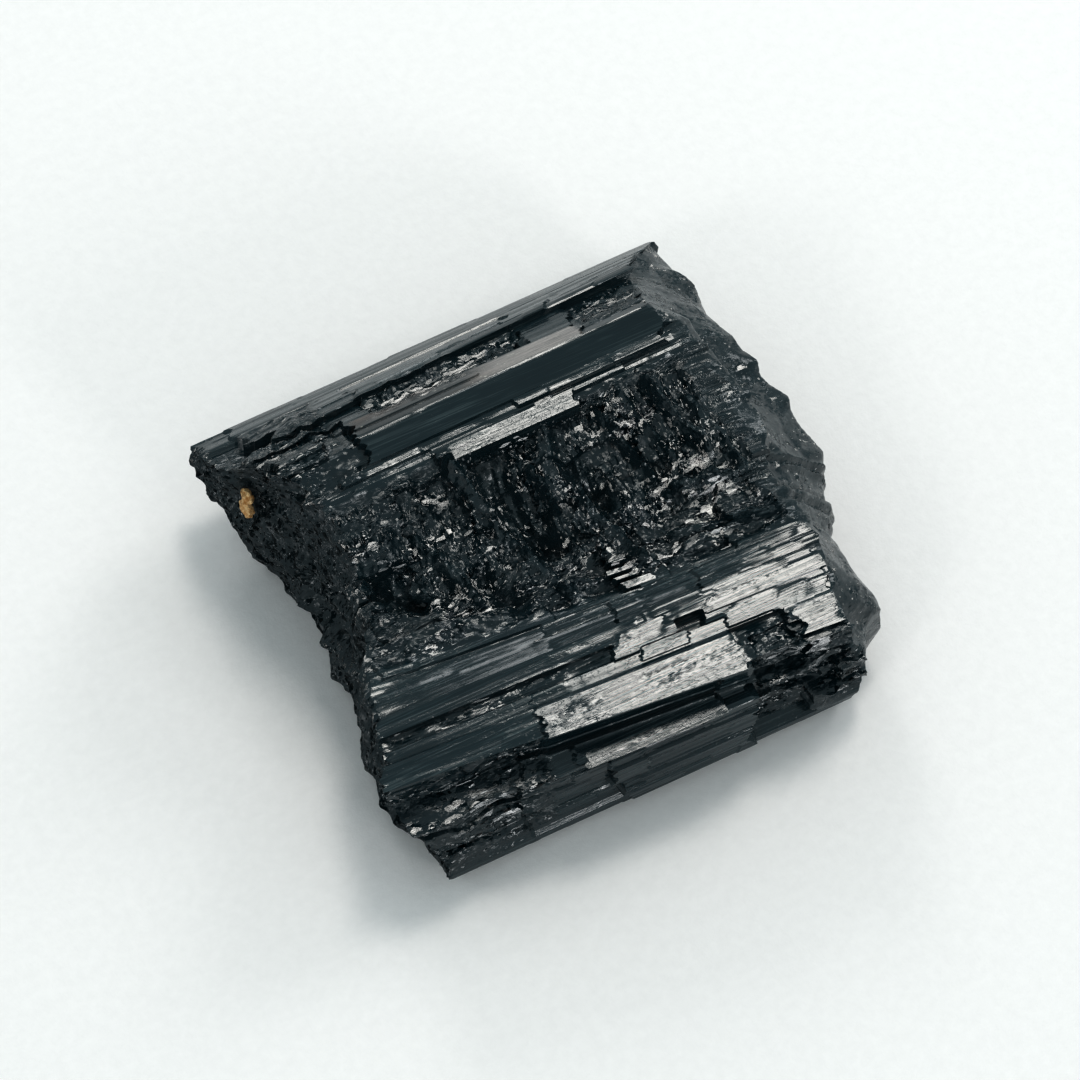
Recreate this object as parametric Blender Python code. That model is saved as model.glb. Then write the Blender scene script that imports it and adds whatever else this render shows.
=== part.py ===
"""Rough black tourmaline crystal, lying on its side, with a small grain of tan mineral in its broken left end.

The long axis of the crystal runs along +X and +Z is up. The origin is under the middle of the crystal, on the
flat face that it rests on. The side of the crystal is a bundle of long parallel laths, each one broken off at
its own lengths. Both ends are rough fractures. Sizes in the tables are millimetres.
"""

import bmesh
import bpy
import numpy as np
from mathutils import Vector
from mathutils.geometry import delaunay_2d_cdt

MM = 0.001

# Driving dimensions.
HALF_LENGTH = 22.0
REST_HEIGHT = 0.0
SPINE_HALF_WIDTH = 12.0
SPINE_HEIGHT = 7.0

# Resolution of the solid: columns round the section, rows along X, and the spacing of points on the end faces.
ROWS = 30
END_SPACING = 1.15
END_JITTER = 0.3
RIM_CLEARANCE = 0.55
LEDGE_HALF_GAP = 0.06
WIDEST_COLUMN = 1.7
FRACTURE_COLUMN = 1.15
FRACTURE_COLUMNS = (20.4, 36.0)
BASE_COLUMN = 8.5

# The long edges, in order round the crystal from the back over the top: (y, z) at the left end, at the right end.
LONG_EDGES = {
    "back_keel": ((21.1, 9.0), (21.9, 9.0)),
    "back_shoulder": ((14.8, 15.0), (17.0, 15.0)),
    "band_top": ((11.7, 18.0), (12.2, 18.0)),
    "crest": ((8.5, 20.0), (10.1, 20.0)),
    "dark_face_foot": ((6.3, 19.0), (7.6, 19.0)),
    "rough_top": ((4.3, 18.5), (4.9, 18.5)),
    "rough_foot": ((-4.9, 15.8), (-9.7, 15.5)),
    "rib_back": ((-12.8, 14.5), (-14.3, 14.5)),
    "rib_groove": ((-15.8, 14.2), (-17.9, 14.2)),
    "rib_front": ((-18.1, 14.0), (-22.3, 13.8)),
    "lower_lath_back": ((-18.6, 11.0), (-22.3, 11.0)),
    "lower_lath_front": ((-21.2, 10.3), (-22.6, 10.3)),
    "front_foot": ((-21.9, 1.5), (-22.0, 1.5)),
    "base_front": ((-20.0, 0.0), (-20.4, 0.0)),
    "base_back": ((12.0, 0.0), (12.5, 0.0)),
    "under_back": ((18.5, 3.5), (19.5, 3.5)),
}

# How far the left end reaches, as (y, x) from back to front, along its upper rim and along its foot.
LEFT_RIM = ((21, -23.0), (15, -21.6), (11, -19.4), (8, -17.7), (3, -16.8), (-4, -16.9), (-6, -18.6), (-9, -20.2),
            (-13, -21.6), (-17, -22.9), (-22, -22.4))
LEFT_FOOT = ((22, -23.0), (18.8, -22.3), (14, -21.4), (10, -20.4), (5.5, -19.2), (0.4, -19.0), (-3, -19.5),
             (-6, -20.2), (-9, -21.1), (-13, -20.9), (-17, -20.5), (-22, -19.5))
LEFT_FOOT_HEIGHT = 3.0

# The same for the right end, whose upper rim is set back: its foot is the widest line of the fracture.
RIGHT_RIM = ((22, 21.6), (16.7, 16.8), (10, 15.4), (5.5, 16.1), (-1, 16.6), (-6, 16.9), (-10, 17.7), (-14, 18.4),
             (-17, 17.8), (-21, 17.3), (-22, 17.6))
RIGHT_FOOT = ((22, 21.9), (17, 23.3), (11, 23.4), (8, 24.0), (3, 24.5), (-3.5, 24.5), (-7, 23.5), (-9, 23.0),
              (-10.4, 21.8), (-14, 22.0), (-17, 22.3), (-18.7, 22.2), (-19.4, 20.4), (-22, 19.0))
RIGHT_FOOT_HEIGHT = 8.0

# The height of the upper rim of both ends, as (y, z), how the ends curve from foot to rim, and their undercut.
RIM_HEIGHT = ((-22, 10.5), (-17, 14.2), (-5, 15.8), (9, 20.0), (15, 15.0), (22, 9.5))
END_CURVE = 1.3
END_UNDERCUT = 1.2

# The laths, in order round the section. Each row is the width of one lath, as its start and end round the
# section from the back edge, then its broken lengths from left to right, as (x where it ends, rise).
LATHS = (
    (0.0, 3.1, ((-19.0, -0.25), (24.0, 0.0))),
    (3.1, 3.8, ((-18.6, -0.7), (17.0, -0.3), (24.0, 0.0))),
    (3.8, 7.0, ((-18.7, -0.75), (-9.2, 0.25), (6.0, 0.0), (24.0, 0.2))),
    (7.0, 8.9, ((-17.0, -0.7), (-9.2, 0.15), (9.0, 0.4), (18.0, 0.2), (24.0, -0.3))),
    (8.9, 11.4, ((-20.0, -0.9), (-9.2, -0.35), (5.5, -0.6), (10.2, -0.15), (24.0, -0.5))),
    (11.4, 13.3, ((-11.6, -0.75), (-9.0, -0.1), (4.8, -0.5), (9.6, 0.0), (24.0, -0.45))),
    (13.3, 15.0, ((-18.8, -1.2), (-14.6, -0.15), (-11.8, -0.9), (-0.4, 0.25), (9.4, 0.1), (15.4, -0.3),
                  (24.0, -0.9))),
    (15.0, 16.4, ((-18.8, -1.1), (-14.4, -0.3), (-11.8, -0.8), (9.2, 0.1), (15.4, -0.1), (24.0, -0.8))),
    (16.4, 18.8, ((-12.0, -0.8), (15.4, 0.0), (24.0, -0.7))),
    (18.8, 19.6, ((-14.5, -0.7), (1.5, -0.25), (15.2, 0.12), (24.0, -0.6))),
    (19.6, 20.3, ((-17.0, -0.9), (-6.8, -0.5), (11.0, -0.3), (24.0, -0.8))),
    (20.3, 21.6, ((-17.0, -1.0), (-6.6, -0.55), (6.0, 0.2), (12.0, -0.7), (24.0, -1.0))),
    (21.6, 24.0, ((-17.0, -1.2), (-11.2, -0.7), (-6.4, -1.4), (-4.6, -0.7), (0.6, -1.5), (8.0, -1.1), (24.0, -0.7))),
    (24.0, 27.0, ((-16.6, -1.3), (-11.6, -0.8), (-6.0, -1.6), (-4.2, -0.8), (-0.4, -1.8), (0.5, -0.9), (9.0, -1.5),
                  (24.0, -0.8))),
    (27.0, 30.8, ((-15.9, -1.1), (-12.4, -2.3), (-4.4, -1.5), (2.0, -1.9), (10.5, -1.2), (24.0, -0.6))),
    (30.8, 33.7, ((-17.0, -1.0), (-9.0, -1.6), (2.6, -1.3), (5.4, -0.5), (13.0, -1.3), (24.0, -0.5))),
    (33.7, 36.6, ((-19.0, -1.1), (-4.0, -0.8), (3.4, -1.0), (6.2, -0.5), (12.0, -0.9), (24.0, -0.5))),
    (36.6, 39.6, ((-20.0, -1.2), (1.0, -0.9), (8.4, -0.6), (24.0, -0.35))),
    (39.6, 41.1, ((-21.4, -0.5), (2.4, 0.15), (18.6, 0.3), (24.0, -0.5))),
    (41.1, 42.4, ((-21.6, -0.6), (-1.4, -0.5), (4.2, 0.25), (6.6, -0.9), (18.0, 0.15), (24.0, -0.6))),
    (42.4, 43.6, ((-22.6, -0.4), (-8.6, 0.0), (12.6, -0.1), (17.6, 0.2), (24.0, -0.7))),
    (43.6, 46.8, ((-8.8, 0.1), (8.0, 0.55), (12.8, -0.7), (24.0, 0.25))),
    (46.8, 49.3, ((-16.0, -0.35), (6.0, -0.65), (9.0, -0.25), (14.0, -1.0), (24.0, -0.5))),
    (49.3, 50.7, ((-11.2, -0.5), (-7.0, -0.05), (5.5, 0.35), (8.4, -0.6), (24.0, -1.2))),
    (50.7, 53.2, ((-12.6, -0.6), (-4.9, -0.15), (8.4, 0.1), (17.0, -1.5), (24.0, -0.8))),
    (53.2, 56.0, ((-12.4, -0.2), (-4.4, -0.5), (8.6, 0.35), (16.6, -1.7), (24.0, -0.4))),
    (56.0, 59.1, ((-12.0, 0.2), (-3.4, -0.4), (8.2, 0.6), (14.0, -1.2), (24.0, 0.1))),
    (93.6, 96.4, ((-12.0, 0.0), (3.0, -0.5), (14.0, 0.1), (24.0, -0.4))),
    (96.4, 98.8, ((-17.0, -0.5), (-2.0, 0.3), (9.0, -0.2), (24.0, 0.2))),
    (98.8, 101.2, ((-8.0, 0.2), (6.0, -0.4), (24.0, 0.0))),
    (101.2, 104.0, ((-14.0, -0.4), (1.0, 0.25), (13.0, -0.3), (24.0, 0.0))),
    (104.0, 107.1, ((-6.0, 0.0), (11.0, -0.3), (24.0, 0.05))),
)

# Where the side is fractured and not smooth: start and end round the section, start and end along X, depth.
ROUGH_PATCHES = (
    (8.9, 13.2, -9.2, 5.2, 0.45),
    (8.9, 15.0, 9.6, 24.0, 0.45),
    (3.8, 20.0, -24.0, -12.2, 0.5),
    (20.4, 36.0, -20.0, 18.0, 1.0),
    (41.0, 42.5, -21.0, -1.5, 0.35),
    (44.0, 59.1, 8.6, 24.0, 0.7),
    (46.8, 59.1, -24.0, -9.0, 0.6),
    (94.0, 104.0, -24.0, -10.0, 0.5),
    (94.0, 102.0, 8.0, 24.0, 0.5),
)
PATCH_FADE = 0.8

# The hollow between the crest and the rib: how deep it is, round the section, and along X as a share of that.
HOLLOW_ROUND = ((21.6, 0.0), (24.0, 0.5), (28.0, 1.1), (33.0, 1.6), (36.0, 1.2), (39.6, 0.0))
HOLLOW_ALONG = ((-20.0, 0.3), (-16.0, 0.8), (-8.0, 1.0), (4.0, 1.0), (10.0, 0.7), (16.0, 0.2), (22.0, 0.0))

# Ridges and grooves of the hollow: from (round, x) to (round, x), half width, height.
SIDE_RIDGES = (
    (21.8, -6.1, 28.5, -3.8, 1.2, 1.5),
    (22.0, 7.2, 28.0, 9.2, 1.0, 1.1),
    (22.0, 11.9, 28.5, 13.9, 1.0, 1.2),
    (28.0, 3.0, 34.0, 5.2, 1.1, 1.2),
    (25.5, -10.8, 32.5, -8.2, 1.1, 1.0),
    (30.0, -3.0, 35.5, -1.0, 1.1, 0.9),
    (27.5, -15.5, 30.5, -12.8, 1.9, -1.4),
    (23.6, -3.0, 29.5, -1.0, 1.7, -1.7),
    (23.5, 3.2, 28.5, 5.0, 1.5, -1.3),
    (31.0, -7.0, 34.0, -5.5, 1.6, -1.0),
)
# The same on the broken ends, from (y, z) to (y, z). The first groove on the left holds the tan grain.
LEFT_RIDGES = (
    (11.9, 12.8, 11.5, 12.0, 2.6, -1.9),
    (6.5, 9.0, 4.5, 6.0, 1.3, 0.9),
    (4.5, 6.0, 0.5, 6.0, 1.3, 0.9),
    (0.5, 6.0, -4.0, 7.6, 1.3, 0.9),
    (2.5, 10.0, -1.5, 11.5, 1.5, -0.9),
)
RIGHT_RIDGES = (
    (8.2, 18.0, 5.7, 17.2, 1.1, 0.6),
    (5.7, 17.2, 1.0, 15.2, 1.1, 0.7),
    (1.0, 15.2, -4.8, 15.4, 1.1, 0.6),
    (-4.8, 15.4, -11.0, 13.6, 1.1, 0.5),
    (12.2, 12.7, 5.3, 11.9, 1.3, 0.7),
    (5.3, 11.9, 1.9, 10.3, 1.3, 0.8),
    (10.0, 15.2, 3.0, 13.4, 1.4, -1.2),
    (1.4, 10.3, -3.3, 8.5, 2.0, 0.9),
    (17.5, 9.5, 14.0, 5.0, 1.4, 0.8),
)

# Fractured floors that lean: start and end round the section, start and end along X, rise per mm round it.
LEANING_FLOORS = ((8.9, 13.2, -9.2, 5.2, -0.22), (44.8, 52.0, 9.3, 18.0, 0.12))

# Chips of the fractures, coarse and fine: size across the crystal, and how deep each kind bites. They are
# stretched along X, but across it in the hollow, which begins and ends at the four distances of the band.
CHIP_SIZES = (3.4, 1.7)
CHIP_DEPTHS = (1.9, 1.1)
CHIP_STRETCH = 1.5
CROSS_STRETCH = 0.5
CROSS_SIZE = 0.7
CROSS_BAND = (19.5, 21.5, 31.0, 34.0)
END_CHIP_SIZES = (5.0, 2.2)
END_CHIP_DEPTHS = (1.3, 0.8)
LEFT_CHIP_SHARES = (1.0, 1.0)
RIGHT_CHIP_SHARES = (1.0, 0.5)
SEED = 41

# The shape of one chip: how much its depth varies, how hollow it is, how much it leans, and its mean height.
CHIP_VARIETY = 0.45
CHIP_BOWL = 0.75
CHIP_LEAN = 0.9
CHIP_MEAN = 0.4

# How far single laths jut out of, or stop short of, the ends of the bundle.
LATH_JUT = 0.9

# The tan grain in the left end: its two lobes, as (centre y, centre z), (radii), and its clearance to the crystal.
GRAIN_LOBES = (((12.6, 11.9), (0.48, 0.6, 0.78)), ((12.5, 10.6), (0.5, 0.66, 0.82)))
GRAIN_CLEARANCE = 0.3
GRAIN_RINGS = 10
GRAIN_SEGMENTS = 14
GRAIN_ROUGHNESS = 0.07


def corner_distances():
    """Distance round the section of each long edge, measured at mid length, closing back on the first."""
    middle = np.array([(np.array(left) + np.array(right)) / 2 for left, right in LONG_EDGES.values()])
    steps = np.linalg.norm(np.roll(middle, -1, axis=0) - middle, axis=1)
    return np.concatenate([[0.0], np.cumsum(steps)])


CORNERS = corner_distances()
ROUND = float(CORNERS[-1])
CORNER = dict(zip(LONG_EDGES, CORNERS))


def hashed(*whole, seed):
    """A repeatable value from 0 to 1 for each set of whole numbers."""
    mixed = np.full(np.broadcast(*whole).shape, seed * 7919 + 17, np.int64)
    for number, prime in zip(whole, (73856093, 19349663, 83492791)):
        mixed = (mixed ^ (np.asarray(number, np.int64) * prime)) & 0x7FFFFFFF
        mixed = (mixed * 1103515245 + 12345) & 0x7FFFFFFF
        mixed = mixed ^ (mixed >> 13)
    return (mixed % 100003) / 100003.0


def chips(across, along, size, seed):
    """Shell-like chips from 0 (deepest) to about 1, meeting in sharp crests, as a brittle mineral breaks."""
    p, q = across / size, along / size
    home_p, home_q = np.floor(p), np.floor(q)
    height = np.full(np.shape(p), 9.0)
    for step_p in (-1, 0, 1):
        for step_q in (-1, 0, 1):
            cell_p, cell_q = home_p + step_p, home_q + step_q
            gap_p = p - cell_p - hashed(cell_p, cell_q, seed=seed)
            gap_q = q - cell_q - hashed(cell_p, cell_q, seed=seed + 1)
            tilt_p = hashed(cell_p, cell_q, seed=seed + 2) - 0.5
            tilt_q = hashed(cell_p, cell_q, seed=seed + 3) - 0.5
            depth = CHIP_VARIETY * hashed(cell_p, cell_q, seed=seed + 4)
            bowl = CHIP_BOWL * (gap_p ** 2 + gap_q ** 2) + CHIP_LEAN * (tilt_p * gap_p + tilt_q * gap_q)
            height = np.minimum(height, depth + bowl)
    return height


def section_point(around, x):
    """The plain section's (y, z) at a distance round it, with the long edges straight from end to end."""
    edges = list(LONG_EDGES.values())
    left = np.array([edge[0] for edge in edges] + [edges[0][0]])
    right = np.array([edge[1] for edge in edges] + [edges[0][1]])
    share = (x + HALF_LENGTH) / (2 * HALF_LENGTH)
    points = []
    for axis in (0, 1):
        at_left = np.interp(around, CORNERS, left[:, axis])
        at_right = np.interp(around, CORNERS, right[:, axis])
        points.append(at_left + (at_right - at_left) * share)
    return points


def outward(y, z):
    """The direction in which a lath rises: away from a flat spine inside the crystal."""
    spine_y = np.clip(y, -SPINE_HALF_WIDTH, SPINE_HALF_WIDTH)
    away_y, away_z = y - spine_y, z - SPINE_HEIGHT
    size = np.hypot(away_y, away_z)
    return away_y / size, away_z / size


def lath_rise(around, x):
    """How far the lath at this place stands above the plain section, or below it where it is broken."""
    rise = np.zeros(np.shape(around))
    for start, end, lengths in LATHS:
        inside = (around >= start) & (around < end)
        ends = np.array([length[0] for length in lengths])
        rises = np.array([length[1] for length in lengths])
        place = np.minimum(np.searchsorted(ends, x), len(lengths) - 1)
        rise = np.where(inside, rises[place], rise)
    return rise


def roughness(around, x):
    """Depth of the fracture at this place: 0 on the smooth faces."""
    depth = np.zeros(np.shape(around))
    for start, end, left, right, deepest in ROUGH_PATCHES:
        inside = np.minimum.reduce([around - start, end - around, x - left, right - x])
        depth = np.maximum(depth, deepest * np.clip(inside / PATCH_FADE, 0, 1))
    return depth


def curve(places, table):
    """A value read from a table of (place, value), straight from one entry to the next."""
    return np.interp(places, [place for place, _ in table], [value for _, value in table])


def ridges(p, q, table):
    """Height of sharp ridges, or depth of grooves, each along a straight line from one place to another."""
    total = np.zeros(np.shape(p))
    for start_p, start_q, end_p, end_q, half_width, height in table:
        run_p, run_q = end_p - start_p, end_q - start_q
        share = np.clip(((p - start_p) * run_p + (q - start_q) * run_q) / (run_p ** 2 + run_q ** 2), 0, 1)
        gap = np.hypot(p - start_p - run_p * share, q - start_q - run_q * share)
        total += height * np.clip(1 - gap / half_width, 0, 1)
    return total


def fracture(around, x):
    """The relief of the rough patches: their chips, their ridges and grooves, and how their floors lean."""
    cross = np.interp(around, CROSS_BAND, (0.0, 1.0, 1.0, 0.0))
    relief = ridges(around, x, SIDE_RIDGES)
    for number, (size, depth) in enumerate(zip(CHIP_SIZES, CHIP_DEPTHS)):
        lengthwise = chips(around, x / CHIP_STRETCH, size, SEED + 10 * number)
        crosswise = chips(around * CROSS_STRETCH, x, size * CROSS_SIZE, SEED + 10 * number + 5)
        relief += depth * (lengthwise * (1 - cross) + crosswise * cross - CHIP_MEAN)
    relief = relief * roughness(around, x)
    for start, end, left, right, lean in LEANING_FLOORS:
        inside = (around >= start) & (around < end) & (x > left) & (x < right)
        relief += inside * lean * (around - (start + end) / 2)
    return relief


def hollow(around, x):
    """Depth of the hollow between the crest and the rib."""
    return curve(around, HOLLOW_ROUND) * curve(x, HOLLOW_ALONG)


def end_reach(y, z, rim, foot, foot_height, ridge_table, chip_shares, seed):
    """How far along X an end reaches: from its foot to its upper rim, with the chips of the fracture."""
    x_rim, x_foot = curve(y, rim[::-1]), curve(y, foot[::-1])
    share = np.clip((z - foot_height) / np.maximum(curve(y, RIM_HEIGHT) - foot_height, 1.0), 0, 1)
    reach = x_foot + (x_rim - x_foot) * share ** END_CURVE
    side = 1.0 if foot[0][1] > 0 else -1.0
    under = np.clip((foot_height - z) / foot_height, 0, 1)
    reach = reach - side * END_UNDERCUT * under ** 2
    for number, (size, depth) in enumerate(zip(END_CHIP_SIZES, END_CHIP_DEPTHS)):
        chip = chips(y, z, size, seed + 20 * number)
        reach = reach + side * depth * chip_shares[number] * (chip - CHIP_MEAN)
    return reach + side * ridges(y, z, ridge_table)


def left_end(y, z):
    return end_reach(y, z, LEFT_RIM, LEFT_FOOT, LEFT_FOOT_HEIGHT, LEFT_RIDGES, LEFT_CHIP_SHARES, SEED + 100)


def right_end(y, z):
    return end_reach(y, z, RIGHT_RIM, RIGHT_FOOT, RIGHT_FOOT_HEIGHT, RIGHT_RIDGES, RIGHT_CHIP_SHARES, SEED + 200)


def lath_jut(around, seed):
    """How far each lath juts out at an end of the bundle: its own length for each lath, and none on the base."""
    starts = np.array([lath[0] for lath in LATHS])
    number = np.searchsorted(starts, around, side="right")
    jut = LATH_JUT * (hashed(number, seed=seed) - 0.5)
    return np.where((around > CORNER["front_foot"]) & (around < CORNER["under_back"]), 0.0, jut)


def side_point(around, share):
    """A point of the crystal's side: distance round it, and share of the way from the left end to the right."""
    x = -HALF_LENGTH + 2 * HALF_LENGTH * share
    for _ in range(2):
        y, z = section_point(around, x)
        left = left_end(y, z) - lath_jut(around, SEED + 300)
        right = right_end(y, z) + lath_jut(around, SEED + 400)
        x = left * (1 - share) + right * share
    y, z = section_point(around, x)
    rise = lath_rise(around, x) - hollow(around, x) + fracture(around, x)
    away_y, away_z = outward(y, z)
    on_base = (around >= CORNER["base_front"]) & (around <= CORNER["base_back"])
    rise = np.where(on_base, 0.0, rise)
    return x, y + away_y * rise, np.maximum(z + away_z * rise, REST_HEIGHT)


def columns_around():
    """Distances round the section that hold a line of points: two at each ledge, so that ledges stay crisp."""
    ledges = sorted({value for lath in LATHS for value in lath[:2]})
    places = [0.0, ROUND]
    for ledge in ledges:
        if LEDGE_HALF_GAP < ledge < ROUND - LEDGE_HALF_GAP:
            places += [ledge - LEDGE_HALF_GAP, ledge + LEDGE_HALF_GAP]
    for corner in CORNERS[1:-1]:
        if min(abs(corner - place) for place in places) > 4 * LEDGE_HALF_GAP:
            places.append(corner)
    places = sorted(places)
    filled = [places[0]]
    for place in places[1:]:
        gap = place - filled[-1]
        middle = (place + filled[-1]) / 2
        on_base = CORNER["base_front"] < middle < CORNER["base_back"]
        in_hollow = FRACTURE_COLUMNS[0] < middle < FRACTURE_COLUMNS[1]
        widest = BASE_COLUMN if on_base else (FRACTURE_COLUMN if in_hollow else WIDEST_COLUMN)
        parts = max(1, int(np.ceil(gap / widest)))
        filled += [filled[-1] + gap * (part + 1) / parts for part in range(parts)]
    return np.array(filled)


def inside_loop(y, z, loop):
    """Whether each point lies inside the loop of (y, z), counting the loop's crossings to one side of it."""
    start_y, start_z = loop[:, 0][:, None], loop[:, 1][:, None]
    end_y, end_z = np.roll(loop, -1, axis=0).T[:, :, None]
    spans = (start_z > z) != (end_z > z)
    rise = np.where(end_z == start_z, 1.0, end_z - start_z)
    crossing = start_y + (z - start_z) * (end_y - start_y) / rise
    return (spans & (y < crossing)).sum(axis=0) % 2 == 1


def face_points(loop, spacing, seed):
    """Evenly scattered (y, z) places inside a loop, clear of the loop itself."""
    low, high = loop.min(axis=0), loop.max(axis=0)
    grid_y, grid_z = np.meshgrid(np.arange(low[0], high[0], spacing), np.arange(low[1], high[1], spacing))
    row, column = np.indices(grid_y.shape)
    y = grid_y + spacing * (0.5 * (row % 2) + END_JITTER * (hashed(row, column, seed=seed) - 0.5))
    z = grid_z + spacing * END_JITTER * (hashed(row, column, seed=seed + 1) - 0.5)
    y, z = y.ravel(), z.ravel()
    nearest = np.hypot(y[:, None] - loop[:, 0], z[:, None] - loop[:, 1]).min(axis=1)
    kept = inside_loop(y, z, loop) & (nearest > RIM_CLEARANCE * spacing)
    return np.stack([y[kept], z[kept]], axis=1)


def close_end(shape, rim, end, seed):
    """Closes one end of the tube with a fracture face that starts from its rim of (x, y, z) points."""
    loop = rim[:, 1:]
    inner = face_points(loop, END_SPACING, seed)
    flat = [Vector(place) for place in np.concatenate([loop, inner])]
    around = [(number, (number + 1) % len(loop)) for number in range(len(loop))]
    places, _, faces, _, _, _ = delaunay_2d_cdt(flat, around, [], 1, 1e-5)
    x = np.concatenate([rim[:, 0], end(inner[:, 0], inner[:, 1])])
    corners = [shape.verts.new((x[number] * MM, place.x * MM, place.y * MM)) for number, place in enumerate(places)]
    for face in faces:
        shape.faces.new([corners[number] for number in face])


def flat_material(name, colour, roughness_value):
    material = bpy.data.materials.new(name)
    material.use_nodes = True
    shader = material.node_tree.nodes["Principled BSDF"]
    shader.inputs["Base Color"].default_value = (*colour, 1.0)
    shader.inputs["Roughness"].default_value = roughness_value
    shader.inputs["Metallic"].default_value = 0.0
    return material


def black_tourmaline():
    return flat_material("black_tourmaline", (0.006, 0.010, 0.012), 0.22)


def tan_mineral():
    return flat_material("tan_mineral", (0.58, 0.33, 0.13), 0.8)


def finished_object(name, shape, material):
    """Makes a closed mesh object of the shape, with its faces pointing outwards."""
    bmesh.ops.recalc_face_normals(shape, faces=shape.faces)
    mesh = bpy.data.meshes.new(name)
    shape.to_mesh(mesh)
    shape.free()
    mesh.materials.append(material)
    piece = bpy.data.objects.new(name, mesh)
    bpy.context.scene.collection.objects.link(piece)
    return piece


def crystal():
    """A flat grid rolled into a tube of laths, with a fracture face over each end."""
    columns = columns_around()
    columns = np.concatenate([columns[:-1], columns[:1]])
    rings = [side_point(columns, np.full(len(columns), row / ROWS)) for row in range(ROWS + 1)]
    points = np.array(rings).transpose(0, 2, 1)
    shape = bmesh.new()
    bmesh.ops.create_grid(shape, x_segments=len(columns) - 1, y_segments=ROWS, size=1.0)
    for vertex, place in zip(shape.verts, points.reshape(-1, 3)):
        vertex.co = place * MM
    close_end(shape, points[0, :-1], left_end, SEED + 50)
    close_end(shape, points[-1, :-1], right_end, SEED + 60)
    bmesh.ops.remove_doubles(shape, verts=shape.verts, dist=1e-6)
    bmesh.ops.triangulate(shape, faces=shape.faces, quad_method="SHORT_EDGE")
    return finished_object("tourmaline_crystal", shape, black_tourmaline())


def lobe(place, radii):
    """One lumpy lobe of the tan grain, just clear of the broken end that it sits on."""
    spread = np.linspace(-1, 1, 7)
    across, up = np.meshgrid(place[0] + spread * radii[1], place[1] + spread * radii[2])
    centre = (left_end(across, up).min() - GRAIN_CLEARANCE - radii[0], *place)
    shape = bmesh.new()
    bmesh.ops.create_uvsphere(shape, u_segments=GRAIN_SEGMENTS, v_segments=GRAIN_RINGS, radius=1.0)
    for vertex in shape.verts:
        across, along, up = vertex.co
        lump = 1 + GRAIN_ROUGHNESS * np.sin(7 * across + 3 * up) * np.cos(6 * along - 2 * up)
        vertex.co = [MM * (middle + radius * lump * part) for middle, radius, part in zip(centre, radii, vertex.co)]
    mesh = bpy.data.meshes.new("grain_lobe")
    shape.to_mesh(mesh)
    shape.free()
    return bpy.data.objects.new("grain_lobe", mesh)


def fleck():
    """The tan grain: two lobes joined in one. The second lobe stays as the guide of the union."""
    first, second = [lobe(place, radii) for place, radii in GRAIN_LOBES]
    for piece in (first, second):
        bpy.context.scene.collection.objects.link(piece)
    second.hide_render = True
    second.display_type = "WIRE"
    first.name = "tan_mineral_fleck"
    first.data.materials.append(tan_mineral())
    join = first.modifiers.new("second_lobe", "BOOLEAN")
    join.operation = "UNION"
    join.object = second
    first.data.shade_smooth()
    return first, second


def centre_over_origin(pieces, reference):
    """Moves the pieces together so that the middle of the reference piece's box stands over the origin."""
    corners = np.array([vertex.co for vertex in reference.data.vertices])
    middle = (corners.min(axis=0) + corners.max(axis=0)) / 2
    for piece in pieces:
        piece.location = (-middle[0], -middle[1], 0.0)


def main():
    for old in list(bpy.data.objects):
        bpy.data.objects.remove(old, do_unlink=True)
    stone = crystal()
    grain, second_lobe = fleck()
    centre_over_origin((stone, grain, second_lobe), stone)


main()
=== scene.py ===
"""Looks of the black tourmaline crystal: its fine surface, its materials, and a plain pale stage.

The crystal lies on its side with its ribs along X. Its side is described by the distance round its section,
which starts at the thin back edge and runs over the top to the front, and by x. The tables are in
millimetres.
"""

import math

import bmesh
import bpy
import numpy as np
from bpy.props import FloatProperty, FloatVectorProperty, PointerProperty
from mathutils import Matrix, Vector, noise
from mathutils.geometry import delaunay_2d_cdt


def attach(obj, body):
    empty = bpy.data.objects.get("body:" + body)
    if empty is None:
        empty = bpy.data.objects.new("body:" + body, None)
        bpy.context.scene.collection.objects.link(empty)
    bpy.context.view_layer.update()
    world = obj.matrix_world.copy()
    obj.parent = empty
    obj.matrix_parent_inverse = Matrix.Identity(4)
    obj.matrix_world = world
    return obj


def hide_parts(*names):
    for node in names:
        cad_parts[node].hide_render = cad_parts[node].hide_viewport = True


bl_info = {
    "name": "Tourmaline crystal",
    "version": (1, 0, 0),
    "blender": (4, 5, 0),
    "location": "3D View > Sidebar > Crystal",
    "description": "Models the fine surface of a rough black tourmaline crystal on its packed frame",
    "category": "Add Mesh",
}

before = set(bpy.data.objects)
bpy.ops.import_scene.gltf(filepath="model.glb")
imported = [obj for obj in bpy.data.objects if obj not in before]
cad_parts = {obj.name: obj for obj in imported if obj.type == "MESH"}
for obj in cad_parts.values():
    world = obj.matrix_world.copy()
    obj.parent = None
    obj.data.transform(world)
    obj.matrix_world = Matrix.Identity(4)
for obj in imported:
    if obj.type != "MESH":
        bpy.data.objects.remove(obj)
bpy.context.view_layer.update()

MM = 0.001
# The middle of the solid's box in the tables' (x, y): it stands over the frame's origin.
ORIGIN_SHIFT = (1.057, -0.370)
CRYSTAL_NODE = "tourmaline_crystal"
GRAIN_NODE = "tan_mineral_fleck"
BODY = "root"

HALF_LENGTH = 22.0
SPINE_HALF_WIDTH = 12.0
SPINE_HEIGHT = 7.0

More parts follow.
